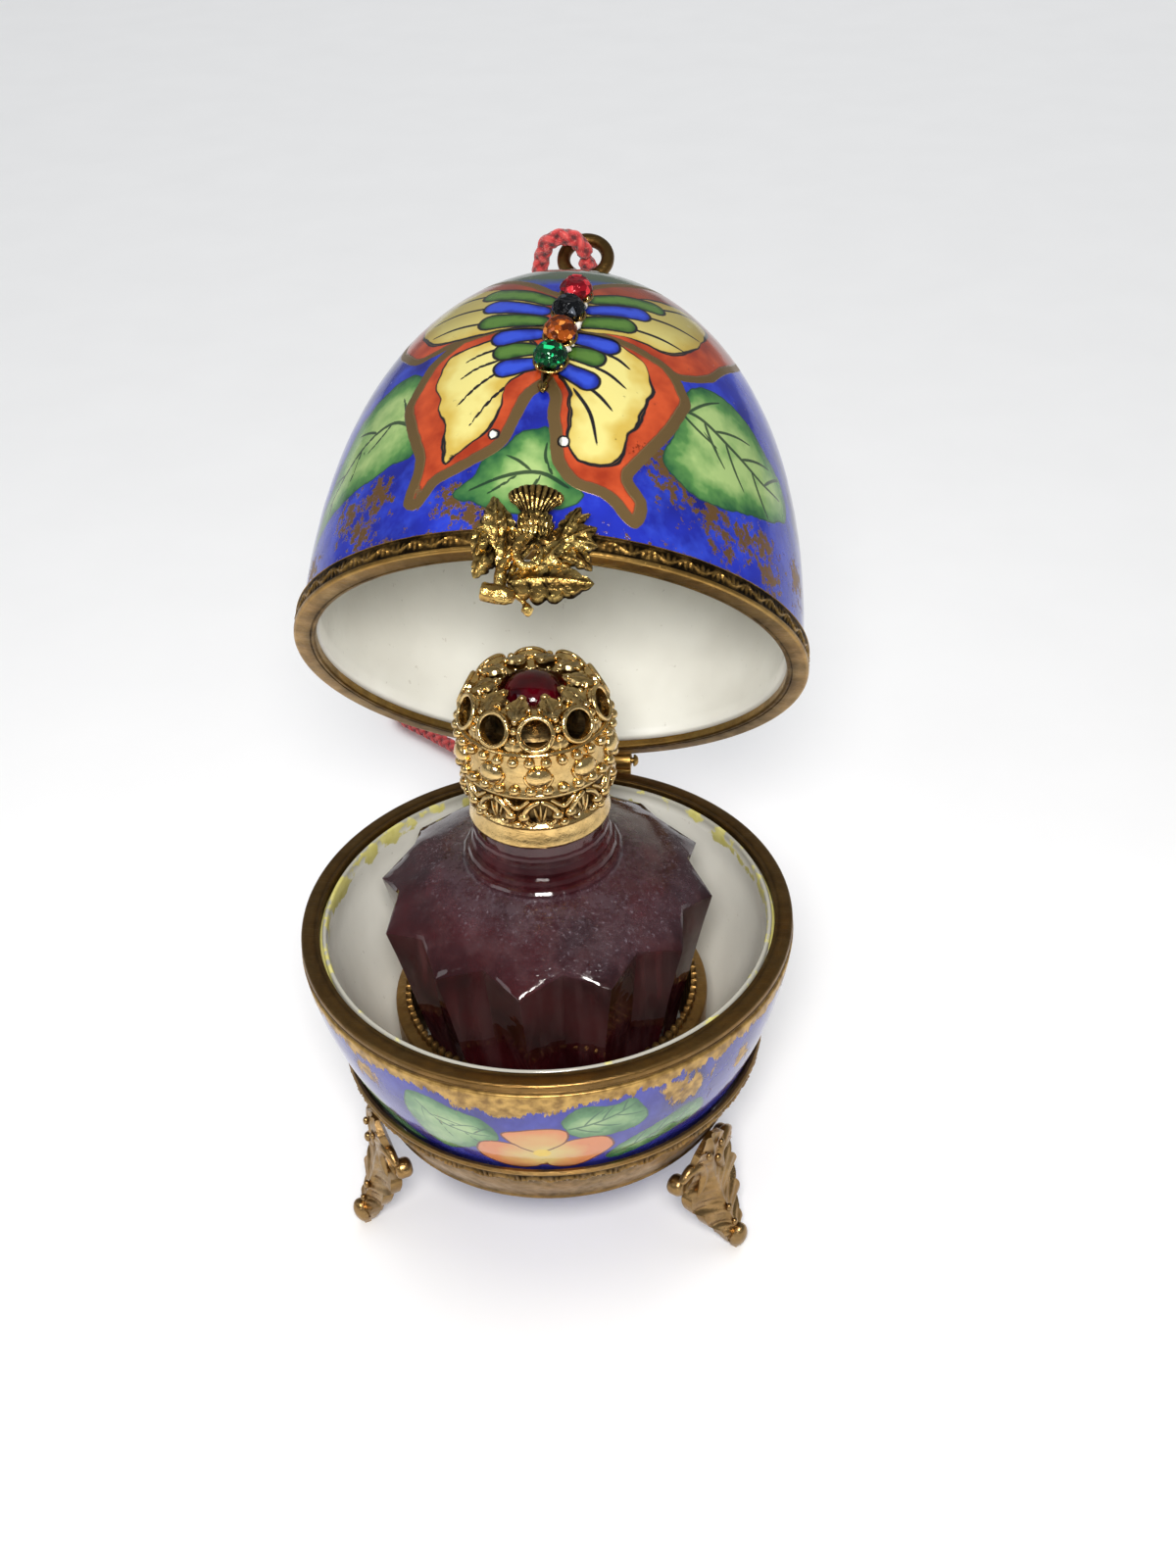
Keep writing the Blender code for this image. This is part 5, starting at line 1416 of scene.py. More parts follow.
def make_foot(name, turn, sway):
    bm, relief = new_casting()
    for vert in wrapped_grid(bm, 56, 110):
        vert.co, vert[relief] = foot_place(vert.co.x, FOOT_TALL * (vert.co.y + 1) / 2, sway)
    bmesh.ops.remove_doubles(bm, verts=bm.verts, dist=0.004)
    bmesh.ops.holes_fill(bm, edges=[edge for edge in bm.edges if edge.is_boundary], sides=0)
    before = set(bm.verts)
    side_out, reach, tall = FOOT_SCROLL
    for side in (-1, 1):
        middle = Vector((sway * tall / FOOT_TALL + side * side_out, -reach, tall))
        lying = Matrix.Translation(middle) @ Matrix.Rotation(pi / 2, 4, "X")
        core = bmesh.ops.create_cone(bm, cap_ends=True, segments=24, radius1=1.4, radius2=1.4, depth=2.3,
                                     matrix=lying)["verts"]
        rims = [e for v in core for e in v.link_edges if e.calc_face_angle(0) > 1]
        bmesh.ops.bevel(bm, geom=list(set(rims)), offset=0.8, segments=5, profile=0.5, affect="EDGES",
                        material=-1)
        curl = [middle + Vector((side * x, y, z)) for x, y, z in FOOT_CURL]
        add_tube(bm, relief, curl, (0.5, 0.8, 0.85, 0.75, 0.4), 12, 0.35, 0.85)
    toe = Matrix.Rotation(radians(14), 3, "X")
    add_ball(bm, Vector((sway * 2.3 / FOOT_TALL, -30.1, 2.3)), 1.5, (0.95, 0.85, 1.45), toe, 3)
    for x, y, z, radius in FOOT_KNOBS:
        add_ball(bm, Vector((x + sway * z / FOOT_TALL, y, z)), radius, (1, 0.8, 1.3))
    raised(relief, set(bm.verts) - before, 0.85)
    bm.transform(Matrix.Rotation(radians(turn), 4, "Z"))
    finished(name + "_acanthus", bm, foot_brass, "base", "foot_brass", name, sharp=50)


foot_brass = make_brass("foot_brass", srgb(40, 31, 20), srgb(158, 130, 88), 0.20, age=0.55)
for foot_name, (foot_turn, foot_sway) in FEET.items():
    make_foot(foot_name, foot_turn, foot_sway)

# %% [markdown]
# The hinge has three knuckles on one pin: two soldered to the bowl's mount and the middle one to the
# lid's. A knuckle is a short tube, spun from a small rounded profile, with a leaf below or above it.

# %% Hinge and top loop
HINGE_HALF = 8
MIDDLE_HALF = 3.2


def on_pin(height_shift):
    """Lays a shape's Z axis along the hinge pin. Lid pieces count their height from the lid's edge."""
    return Matrix.Translation((0, pin_y, pin_z - height_shift)) @ Matrix.Rotation(pi / 2, 4, "Y")


def add_knuckle(bm, start, stop, height_shift):
    profile = rounded_profile([(1.25, start), (1.25, stop), (0.8, stop), (0.8, start)], 0.12, 3)
    bmesh.ops.transform(bm, matrix=on_pin(height_shift), verts=spin_profile(bm, profile, ((0, 360, 40),)))


def add_plate(bm, low, high, bevel=0.15):
    """A plate between two corners, with its edges eased."""
    size = Vector(high) - Vector(low)
    made = bmesh.ops.create_cube(bm, size=1, matrix=Matrix.Translation((Vector(low) + Vector(high)) / 2)
                                 @ Matrix.Diagonal((*size, 1)))["verts"]
    edges = list({edge for vert in made for edge in vert.link_edges})
    bmesh.ops.bevel(bm, geom=edges, offset=bevel, segments=2, profile=0.5, affect="EDGES", material=-1)


def make_hinge():
    inner = MIDDLE_HALF + GAP
    leaf_y = BOWL_R + GAP
    bm = bmesh.new()
    for start, stop in ((-HINGE_HALF, -inner), (inner, HINGE_HALF)):
        add_knuckle(bm, start, stop, 0)
        add_plate(bm, (start, leaf_y, RIM_Z - 3), (stop, leaf_y + 0.7, pin_z - 0.9))
    add_plate(bm, (-HINGE_HALF, leaf_y, RIM_Z - 3), (HINGE_HALF, leaf_y + 0.7, RIM_Z - 1.5))
    finished("bowl_hinge_leaf", bm, plain_brass, "base", "hinge_brass", "bowl_hinge")
    lid_edge = lid_edge_z / MM
    bm = bmesh.new()
    add_knuckle(bm, -MIDDLE_HALF, MIDDLE_HALF, lid_edge)
    add_plate(bm, (-MIDDLE_HALF, MOUNT_R + GAP, 0.85), (MIDDLE_HALF, MOUNT_R + GAP + 0.7, 2.82))
    finished("lid_hinge_leaf", bm, plain_brass, "lid", "hinge_brass", "lid_hinge")
    end = HINGE_HALF + GAP
    bm = bmesh.new()
    head = [(0, end + 0.7), (0.3, end + 0.68), (0.6, end + 0.55), (0.82, end + 0.3), (0.9, end + 0.1),
            (0.85, end)]
    profile = head + [(0.45, end), (0.45, -end)] + [(radius, -height) for radius, height in head[::-1]]
    spin_profile(bm, profile, ((0, 360, 24),), closed=False)
    bm.transform(on_pin(0))
    finished("hinge_pin_turned", bm, plain_brass, "base", "hinge_brass", "hinge_pin")


def make_top_loop():
    bm = bmesh.new()
    standing = Matrix.Translation((0, 0, LOOP_CENTRE_H)) @ Matrix.Rotation(pi / 2, 4, "X")
    add_hoop(bm, standing, 3.08, 0.92, 64, 20)
    foot, top = LID_H + GAP, LOOP_CENTRE_H - 3.25
    profile = [(0, top + 0.2), (0.8, top + 0.1), (1.2, top - 0.3), (1.3, top - 0.7), (1.2, top - 1),
               (0.9, top - 1.3), (0.95, top - 1.5), (1.7, top - 1.7), (2, top - 2), (2.1, top - 2.3),
               (2.8, foot + 0.75), (3.05, foot + 0.5), (3.1, foot + 0.2), (3.1, foot), (0, foot)]
    spin_profile(bm, profile, ((0, 360, 48),), closed=False)
    finished("top_loop_cast", bm, loop_brass, "lid", "mount_brass", "top_loop")


loop_brass = make_brass("loop_brass", srgb(40, 30, 16), srgb(138, 108, 62), 0.24, age=0.55, relief=False)
make_hinge()
make_top_loop()

# %% [markdown]
# The bottle is pressed glass with twelve star points. A ring of points starts as a circle with eight
# corners to each star point, and is extruded upwards ring by ring. Between a point and the notch beside it
# the wall is flat, so each ring is only stretched towards the corners of its star. Above the shoulder the
# star dies into the round neck, which has three fine ridges. The inside is one smooth hollow, joined to
# the outside at the mouth, so that light bends through a real thickness of glass. A dusty bloom lies on
# the shoulder, thicker towards the neck and on the right, and each vertex stores how much.

# %% Bottle
BOTTLE_POINTS = 12
BOTTLE_TURN = radians(-0.8)
BOTTLE_AROUND = 96
# Height, radius at a star point, radius at a notch and how far the notch is raised.
BOTTLE_RINGS = ((18.35, 13.8, 13.8, 0), (18.6, 14.8, 14.7, 0), (19.5, 15.6, 15.4, 0),
                (24, 16.25, 15.7, 0), (30, 17.2, 16.2, 0), (36, 18.45, 16.95, 0),
                (42, 19.7, 17.7, 0), (46, 20.6, 18.2, 0.3), (49.4, 21.45, 18.75, 1.3),
                (50.1, 21.6, 18.9, 1.6), (50.6, 21.1, 18.7, 1.6), (51.9, 19, 17.6, 1.1),
                (53.4, 16.4, 15.9, 0.4), (54.6, 13.9, 13.8, 0.1), (55.4, 12, 12, 0))
BOTTLE_NECK = ((55.8, 11), (56, 10.3), (56.4, 10.1), (56.9, 10.15), (57.2, 9.9), (57.35, 9.45), (57.8, 9.5),
               (58.3, 9.3), (58.5, 8.75), (59.2, 8.95), (59.6, 8.7), (59.8, 8.4), (60.6, 8.4), (60.9, 8.65),
               (61.3, 8.55), (61.5, 8.3), (62.7, 8.2), (63, 6.9), (74.8, 6.9), (75, 6.7))
BOTTLE_HOLLOW = ((75, 3.9), (74.8, 3.7), (57.4, 3.7), (56, 5.2), (54.4, 9), (52, 12.4), (48, 14.2),
                 (40, 14), (30, 13.3), (24, 12.9), (22.4, 12), (22, 11), (22, 5))


def star_place(turn, height, point_r, notch_r, rise):
    pitch = 2 * pi / BOTTLE_POINTS
    place = ((turn / pitch + 0.5) % 1) - 0.5
    share = min(1, abs(place) * 2)
    middle = turn - place * pitch
    far = copysign(pitch / 2, place)
    tip = round_egg(middle + BOTTLE_TURN, point_r, height)
    notch = round_egg(middle + far + BOTTLE_TURN, notch_r, height + rise)
    return tip.lerp(notch, share)


def make_bottle_mesh():
    bm = bmesh.new()
    rings = list(BOTTLE_RINGS) + [(z, r, r, 0) for z, r in BOTTLE_NECK + BOTTLE_HOLLOW]
    made = bmesh.ops.create_circle(bm, cap_ends=False, segments=BOTTLE_AROUND, radius=1)["verts"]
    turns = {vert: 2 * pi * i / BOTTLE_AROUND for i, vert in enumerate(made)}
    edges = list(bm.edges)
    for vert in made:
        vert.co = star_place(turns[vert], *rings[0])
    bmesh.ops.contextual_create(bm, geom=edges)
    ring_verts = made
    for ring in rings[1:]:
        edges = [e for e in {e for v in ring_verts for e in v.link_edges} if all(v in turns for v in e.verts)]
        out = bmesh.ops.extrude_edge_only(bm, edges=edges)
        fresh = [item for item in out["geom"] if isinstance(item, bmesh.types.BMVert)]
        fresh_turns = {}
        for vert in fresh:
            near = [other for edge in vert.link_edges for other in edge.verts if other in turns]
            fresh_turns[vert] = turns[near[0]]
            vert.co = star_place(fresh_turns[vert], *ring)
        turns, ring_verts = fresh_turns, fresh
    bmesh.ops.contextual_create(bm, geom=[e for e in {e for v in ring_verts for e in v.link_edges}
                                          if all(v in turns for v in e.verts)])
    bmesh.ops.recalc_face_normals(bm, faces=bm.faces)
    return bm


def make_bottle_glass():
    material, w = new_material("amethyst_glass", {"Transmission Weight": 0.72, "IOR": 1.5})
    frost = w.field("frost")
    dust = w.spread(w.grain(1100, 5, 0.75), 0.35, 0.65, 0, 0.6)
    wisps = w.spread(w.grain(240, 3, 0.6, (1, 1, 0.4)), 0.35, 0.65, 0.1, 0.45)
    film = w.times(frost, w.plus(dust, wisps), clamp=True)
    specks = w.times(w.above(w.grain(1900, 3, 0.7), 0.63, 0.03), w.spread(frost, 0.1, 0.7))
    streaks = w.spread(w.grain(420, 4, 0.6, (1, 1, 0.12)), 0.46, 0.66)
    colour = w.mix(w.clouds(110), srgb(60, 16, 22), srgb(104, 34, 40))
    colour = w.mix(w.times(streaks, 0.4), colour, srgb(136, 92, 94))
    colour = w.mix(w.times(film, 0.8), colour, srgb(128, 98, 112))
    colour = w.mix(w.times(specks, 0.5), colour, srgb(206, 190, 206))
    scuffs = w.group(scuffs_group, {"Density": 0.4})
    polish = w.plus(0.04, w.times(scuffs["Mask"], 0.2))
    w.surface(colour, w.plus(w.times(film, 0.42), polish), w.plus(w.grain(300), w.times(specks, 0.4)),
              0.25, 0.0003)
    return material


def make_bottle():
    bm = make_bottle_mesh()
    frost = bm.verts.layers.float.new("frost")
    for vert in bm.verts:
        radius = hypot(vert.co.x, vert.co.y)
        turn = atan2(vert.co.x, -vert.co.y)
        ring, right = (18 - radius) / 5.5, 0.75 * cos(turn - radians(65))
        shoulder = min(1, max(0.12, ring, right)) * min(1, max(0, (vert.co.z - 50.9) / 0.8))
        neck = min(1, max(0.1, (57.4 - vert.co.z) / 1.4))
        vert[frost] = min(shoulder, neck) if radius > 6.95 else 0
    finished("bottle_pressed", bm, make_bottle_glass(), "base", "bottle_glass", "bottle", sharp=24)


make_bottle()

# %% [markdown]
# The cap is a bright gilt casting. One spun profile gives its flared collar, a recess for the open skirt,
# the plain band and the floor of the crown. On it stand ten open rings, leaning in with the crown, claws
# that hold the red stone, domes, rows of beads, and ten arches with a fan of fine rods in each.

# %% Cap
CAP_REPEATS = 10
CAP_TURN = radians(10)
CAP_LEAN = radians(25)     # how far the open rings lean in, and the claws
CLAW_LEAN = radians(62)
CAP_PROFILE = ((0, 79.3), (3.9, 79.3), (4, 79.4), (4, 80.7), (4.15, 80.95), (4.6, 81), (5.4, 81.2),
               (6.5, 81.2), (7.1, 80.9), (6.8, 80.6), (5.4, 80.5), (4.95, 80), (4.9, 79), (5.1, 77),
               (5.4, 76.6), (7.9, 76.6), (8.2, 76.8), (8.3, 77.3), (8.6, 77.5), (9, 77.55), (9.3, 77.45),
               (9.4, 77.25), (9.3, 77.05), (9.18, 76.95), (9.25, 75.5), (9.28, 73.5), (9.25, 71.75),
               (9.4, 71.6), (9.5, 71.4), (9.45, 71.15), (9.2, 70.95), (8.75, 70.8), (8.45, 70.5), (8.4, 69),
               (8.4, 67.2), (8.5, 66.7), (8.8, 66.5), (8.9, 66.3), (8.75, 66), (8.35, 65.7), (8.4, 65),
               (8.6, 64.2), (8.85, 63.6), (8.85, 63.35), (8.7, 63.2), (7.6, 63.2), (7.45, 63.35),
               (7.45, 75.6), (0, 75.6))
# Radius, height and distance across of each point of an arch's tubes, then the tube's radii, sides, step
# and relief. A tube that starts off the middle has a twin on the other side.
CAP_TUBES = (
    (((9.1, 70.55, 0.1), (9.15, 69.9, 1.2), (9.15, 68.7, 1.95), (9.05, 67.5, 1.8), (9, 67.1, 1.1),
      (9, 67.5, 0.7)), (0.34, 0.42, 0.38, 0.26), 8, 0.3, 0.8),
    (((9.1, 70.7, 1.3), (9.1, 69.9, 2.2), (9.1, 69.3, 2.7)), (0.22, 0.3, 0.25), 8, 0.3, 0.75),
    (((8.75, 67.3, 0.2), (8.8, 68.3, 0.5), (8.75, 69.4, 0.75)), (0.16, 0.2, 0.14), 6, 0.35, 0.6),
    (((8.75, 67.3, 0), (8.85, 68.5, 0), (8.75, 69.8, 0)), (0.16, 0.22, 0.14), 6, 0.35, 0.6),
)
# Radius, height, distance across, size and relief of the beads between two arches.
CAP_BEADS = ((8.75, 79, 0, 0.5, 0.85), (8.2, 79.95, 0, 0.56, 0.85), (7.6, 80.85, 0, 0.48, 0.85),
             (4.3, 82.05, 0, 0.42, 0.9), (6.1, 81.55, -1.3, 0.36, 0.9), (6.1, 81.55, 1.3, 0.36, 0.9),
             (9, 68.3, -0.8, 0.76, 0.85), (9, 68.3, 0.8, 0.76, 0.85), (8.95, 67, 0, 0.66, 0.85),
             (9, 69.5, 0, 0.4, 0.85))


def cap_place(turn, radius, height, across=0):
    return round_egg(turn + across / radius, radius, height)


def cap_base_relief(radius, z):
    """Dark in the recesses, bright on the collar, between the two on the bands."""
    if (66.8 < z < 70.7 and radius < 8.6) or (76.2 < z < 79 and radius < 8.3):
        return 0.06
    if z < 66.5:
        return 1
    return 0.62 if 71.6 < z < 77 else 0.7


def add_crown_part(bm, relief, turn, between):
    """One open ring of the crown, with the leaf beside it and the claw behind."""
    ring = Matrix.Translation(cap_place(turn, 8, 79.55)) @ facing_out(turn, CAP_LEAN).to_4x4()
    raised(relief, add_collar(bm, ring, 1.72, 2.12, 1.1), 0.8)
    raised(relief, add_hoop(bm, ring @ Matrix.Translation((0, 0, 0.5)), 2, 0.3, 32, 8), 0.8)
    out = facing_out(between, CAP_LEAN) @ Vector((0, 0, 1))
    add_leaf(bm, relief, cap_place(between, 8.95, 77.4), cap_place(between, 8.35, 79.2), out, 2.6, 0.3, 0.2,
             0.15, 3, 0.2)
    out = facing_out(between, CLAW_LEAN) @ Vector((0, 0, 1))
    add_leaf(bm, relief, cap_place(between, 7.7, 80.7), cap_place(between, 3.55, 82.05), out, 2.9, 0.35,
             0.35, 0.35, 3, 0.35)


def add_skirt_part(bm, relief, turn):
    """One dome of the band with the half hoop under it, and the arch below them."""
    facing = facing_out(turn)
    dome = Matrix.Translation(cap_place(turn, 9.3, 74.25)) @ facing.to_4x4()
    raised(relief, add_ball(bm, dome.translation, 1.6, (1, 0.9, 0.6), facing, 3), 0.75)
    raised(relief, add_hoop(bm, dome @ Matrix.Rotation(pi, 4, "Z"), 1.62, 0.22, 20, 8, arc=180), 0.75)
    for points, radii, sides, step, value in CAP_TUBES:
        for side in (-1, 1) if points[0][2] else (1,):
            line = [cap_place(turn, radius, height, side * across) for radius, height, across in points]
            add_tube(bm, relief, line, radii, sides, step, value)


def make_cap():
    bm, relief = new_casting()
    for vert in spin_profile(bm, CAP_PROFILE, ((0, 360, 120),), closed=False):
        vert[relief] = cap_base_relief(hypot(vert.co.x, vert.co.y), vert.co.z)
    for i in range(CAP_REPEATS):
        turn = CAP_TURN + 2 * pi * i / CAP_REPEATS
        between = turn + pi / CAP_REPEATS
        add_crown_part(bm, relief, turn, between)
        add_skirt_part(bm, relief, turn)
        for radius, height, across, size, value in CAP_BEADS:
            raised(relief, add_ball(bm, cap_place(between, radius, height, across), size), value)
    for height, size in ((72.3, 0.76), (76.3, 0.7)):
        for k in range(30):
            turn = CAP_TURN + radians(12 * k + 6)
            raised(relief, add_ball(bm, cap_place(turn, 9.38, height), size, turn=facing_out(turn)), 0.8)
    for k in range(20):
        raised(relief, add_ball(bm, cap_place(radians(18 * k), 4.35, 81), 0.3), 0.8)
    gilt = make_brass("cap_gilt", srgb(34, 24, 14), srgb(224, 194, 134), 0.04, 0.45, 1500, wear=0.2)
    finished("cap_cast", bm, gilt, "base", "cap_gilt", "cap", sharp=50, weld=0.0002)


def make_ruby_glass():
    material, w = new_material("ruby_glass", {"Transmission Weight": 0.4, "Specular IOR Level": 0.3})
    cloud = w.grain(500, 3)
    scuffs = w.group(scuffs_group, {"Density": 0.35})
    w.surface(w.mix(w.spread(cloud, 0.35, 0.65), srgb(48, 0, 8), srgb(90, 2, 18)),
              w.plus(w.spread(cloud, 0.3, 0.7, 0.03, 0.08), w.times(scuffs["Mask"], 0.15)),
              w.plus(w.grain(900), scuffs["Height"]), 0.12, 0.0001)
    return material


def make_cap_jewel():
    foot = 79.3 + GAP
    dome = [(3.6 * cos(t), 80 + 2.6 * sin(t)) for t in np.radians(np.linspace(90, 0, 14))]
    dome[0] = (0, 82.6)
    bm = bmesh.new()
    spin_profile(bm, dome + [(3.6, foot), (0, foot)], ((0, 360, 56),), closed=False)
    finished("cap_jewel_cabochon", bm, make_ruby_glass(), "base", "red_glass", "cap_jewel", sharp=50)


make_cap()
make_cap_jewel()

# %% [markdown]
# The clasp is a small cast spray that hangs over the lid's edge: a thistle with its brush and calyx, a
# bent stem with a cut stub and a loop, large and small leaves and a bud. It is made flat before the mount,
# in millimetres across, up and out, and then turned to its place. Old gilding is bright on every ridge
# and nearly black in the hollows, so the relief is strong.

# %% Clasp
CLASP_TURN = radians(3.5)
CLASP_R = MOUNT_R + GAP
# Base, tip, width and height off the mount of each leaf of the spray.
CLASP_LEAVES = (
    ((-4, -0.9), (-5, 5.6), 3.2, 0.95), ((-5.2, 3.2), (-6.5, -2.1), 2.4, 0.65),
    ((-3.4, -4), (-3.2, 1.6), 1.9, 1.25), ((2.2, -1.2), (4.7, 4.9), 2.5, 0.8),
    ((1.8, -0.4), (6.7, 2.3), 3, 0.9), ((3, 0.6), (6.5, -2.7), 2.3, 0.7),
    ((-0.2, -4), (3.4, 0.6), 2.6, 1.15), ((-2.8, -4.7), (6.9, -4.5), 4.8, 1),
    ((1, -0.6), (3.9, -3.4), 2.6, 0.95), ((-4.6, -0.6), (-6.4, -4.4), 2.4, 0.8),
    ((-3, 0.2), (-4, 4.2), 2.2, 1.2), ((3.6, 0.2), (6.9, 0.2), 2.2, 0.95),
)
LEAF_SWELL = 1.18
CLASP_SEED = 3                    # of the small unevenness, so that it is the same in every run
# Base, tip and width of the small leaves that fill the gaps.
CLASP_FILLERS = (
    ((-4.6, 1.6), (-6.9, 1.2), 1.3), ((-3.6, 2.2), (-2.4, 0.4), 1.2), ((4.2, 1.4), (6.6, 0.2), 1.4),
    ((2.6, -1.6), (5.2, -2.2), 1.5), ((0.6, -2.8), (4.2, -2.6), 1.5), ((3.2, 2), (5.9, 4), 1.3),
    ((0.2, -4.4), (2.6, -7), 1.5), ((-2.4, 0.6), (-1.2, 2.2), 1),
)
# Points, radii, sides, step and relief of the stem, the thin twig beside it, the bud's stalk, the bud and
# the stem's loop.
CLASP_TUBES = (
    (((-0.2, 1.4, 1.3), (-1.1, 0.2, 1.6), (-2.6, -1.6, 1.5), (-3.4, -3.4, 1.3), (-3.4, -5.8, 1.1)),
     (0.55, 0.5, 0.6, 0.7, 0.7), 14, 0.25, 0.7),
    (((0.5, 1, 1), (-0.6, -0.6, 0.9), (-1.9, -2.4, 0.9), (-2.7, -4.6, 1)),
     (0.25, 0.35, 0.4, 0.3), 10, 0.25, 0.5),
    (((-2.2, -5.8, 1), (-0.9, -6.7, 0.9), (-0.3, -7.7, 0.9)), (0.4, 0.35, 0.3), 10, 0.25, 0.7),
    (((-0.35, -7.1, 0.9), (-0.2, -7.8, 0.9), (0, -8.6, 0.9)), (0.3, 0.72, 0.2), 12, 0.15, 0.85),
    (((-0.2, 1.2, 1.7), (-1.6, -0.2, 1.9), (-1.9, -1.8, 1.9), (-1, -3, 1.8), (0.4, -2.7, 1.8),
      (0.9, -1.4, 1.8), (0.3, -0.4, 1.7)), (0.5, 0.6, 0.55, 0.45, 0.35), 12, 0.25, 0.8),
)
STUB_PROFILE = ((0, 1.1), (0.5, 1.15), (0.68, 1.4), (0.78, 1.75), (0.95, 1.78), (1.08, 1.6), (1.05, 1.1),
                (1.12, 0.2), (1, -1), (0.7, -1.8), (0.3, -2), (0, -2.02))
# Height, half width and depth of each ring of the thistle's brush.
FLOWER_RINGS = ((2.7, 1.05, 0.75), (3.2, 1.3, 0.9), (3.8, 1.65, 1.1), (4.6, 2.3, 1.3), (5.3, 2.8, 1.45),
                (5.9, 3.1, 1.5), (6.25, 3.1, 1.45), (6.45, 2.85, 1.25), (6.4, 2.3, 0.95), (6.25, 1.3, 0.55),
                (6.2, 0, 0))


def clasp_point(u, v, w):
    return Vector((u, -CLASP_R - w, v))


def add_flower(bm, relief):
    for vert in wrapped_grid(bm, 96, len(FLOWER_RINGS)):
        k = int(round((vert.co.y + 1) / 2 * len(FLOWER_RINGS))) - 1
        v, half_width, depth = FLOWER_RINGS[max(k, 0)]
        if k < 0:
            half_width = depth = 0
        turn = (vert.co.x + 1) * pi
        groove = 0.5 + 0.5 * cos(24 * turn)
        flute = 1 - (0.10 if 2 < k < 9 else 0.03) * groove
        bow = 0.5 * cos(turn) ** 2 if v > 5 else 0
        vert.co = clasp_point(-0.3 + half_width * flute * cos(turn), v - bow,
                              1.6 + depth * flute * sin(turn))
        vert[relief] = max(0.03, 0.95 - 0.9 * groove - (0 if k > 2 else 0.2))


def add_calyx(bm, relief):
    raised(relief, add_ball(bm, clasp_point(-0.2, 2.2, 1.35), 1, (1.55, 1.15, 1.5)), 0.2)
    for row, (height, count, size) in enumerate(((1.2, 5, 1.5), (2, 6, 1.7), (2.8, 6, 1.5))):
        for i in range(count):
            angle = pi * (i + 0.5 + 0.5 * (row % 2)) / count
            swell = 1 - 0.12 * abs(row - 1)
            side, front = swell * cos(angle), swell * sin(angle)
            foot = clasp_point(-0.2 - 1.62 * side, height - 0.7, 1.35 + 1.15 * front)
            tip = clasp_point(-0.2 - 1.85 * side, height + 0.75, 1.35 + 1.4 * front)
            add_leaf(bm, relief, foot, tip, (-cos(angle), -sin(angle), 0.1), size * 0.75,
                     0.35, 0.15, 0.15, 1, 0.1, long=10)


def make_clasp():
    bm, relief = new_casting()
    add_flower(bm, relief)
    add_calyx(bm, relief)
    for points, radii, sides, step, value in CLASP_TUBES:
        add_tube(bm, relief, [clasp_point(*point) for point in points], radii, sides, step, value)
    stub = spin_profile(bm, STUB_PROFILE, ((0, 360, 28),), closed=False)
    lying = Matrix.Translation(clasp_point(-3.6, -6.3, 1.2)) @ Matrix.Rotation(-radians(82), 4, "Y")
    bmesh.ops.transform(bm, matrix=lying, verts=stub)
    raised(relief, stub, 0.7)
    for i, (base, tip, width, lift) in enumerate(CLASP_LEAVES):
        length = (Vector(tip) - Vector(base)).length
        foot = clasp_point(*base, lift - 0.15)
        end = clasp_point(*tip, lift + (0.25 if length > 5 else 0))
        add_leaf(bm, relief, foot, end, (0.15 * (-1) ** i, -1, 0.1), LEAF_SWELL * width, 0.85, 0.4,
                 0.35, 5 if length > 6 else 4, 0.34, long=44 if length > 6 else 30)
    for base, tip, width in CLASP_FILLERS:
        add_leaf(bm, relief, clasp_point(*base, 1), clasp_point(*tip, 1.15), (0.1, -1, 0.2), width,
                 0.6, 0.25, 0.25, 3, 0.3, long=22)
    noise.seed_set(CLASP_SEED)
    for vert in bm.verts:
        vert.co += noise.noise_vector(vert.co * 1.7) * 0.07
    bm.transform(Matrix.Rotation(CLASP_TURN, 4, "Z"))
    finished("clasp_spray", bm, clasp_gilt, "lid", "clasp_gilt", "clasp", sharp=42, weld=0.0002)


def make_clasp_gilt():
    material, w = new_material("old_gilt", {"Metallic": 1})
    patina = w.group(patina_group, {"Relief": w.field("relief"), "Scale": 1600, "Age": 0.95})
    lumps = w.node("ShaderNodeTexVoronoi", {"Vector": w.place(), "Scale": 1150})
    tint = w.mix(w.clouds(500, 2), srgb(236, 202, 120), srgb(208, 164, 90))
    w.surface(w.mix(patina["Dark"], tint, srgb(28, 18, 8)), w.plus(patina["Rough"], 0.06),
              w.plus(lumps.outputs["Distance"], patina["Height"]), 0.55, 0.0003)
    return material


clasp_gilt = make_clasp_gilt()
make_clasp()

# %% [markdown]
# Four glass stones stand in a row on a thin gilt strip, and the strip follows the dome down its front.
# A stone is cut like a small brilliant. Its corners are placed in four rings, and the convex hull of the
# corners gives every facet. Facets stay flat, so each catches the light at its own angle, and a few small
# patches of each stone carry a painted glint. Small crumbs of old glue sit beside the stones.

# %% Stones and their setting
STONE_R = 2.05
# Height on the dome and material slot of each stone, its dark and middle colours, and its painted glint
# colour.
STONES = {
    "stone_red": (37.3, "garnet_glass", "red_glass", srgb(66, 2, 12), srgb(150, 14, 30), srgb(240, 60, 70)),
    "stone_black": (33.4, "jet_glass", "black_glass", srgb(3, 3, 5), srgb(14, 16, 20), srgb(96, 102, 112)),
    "stone_amber": (29.4, "amber_glass", "amber_glass", srgb(84, 32, 4), srgb(170, 80, 18),
                    srgb(255, 160, 70)),
    "stone_green": (25.3, "emerald_glass", "green_glass", srgb(0, 34, 18), srgb(0, 92, 46),
                    srgb(40, 240, 150)),
}
STRIP_TOP_H = 39.2
STRIP_END_H = 22
STRIP_THICK = 0.7
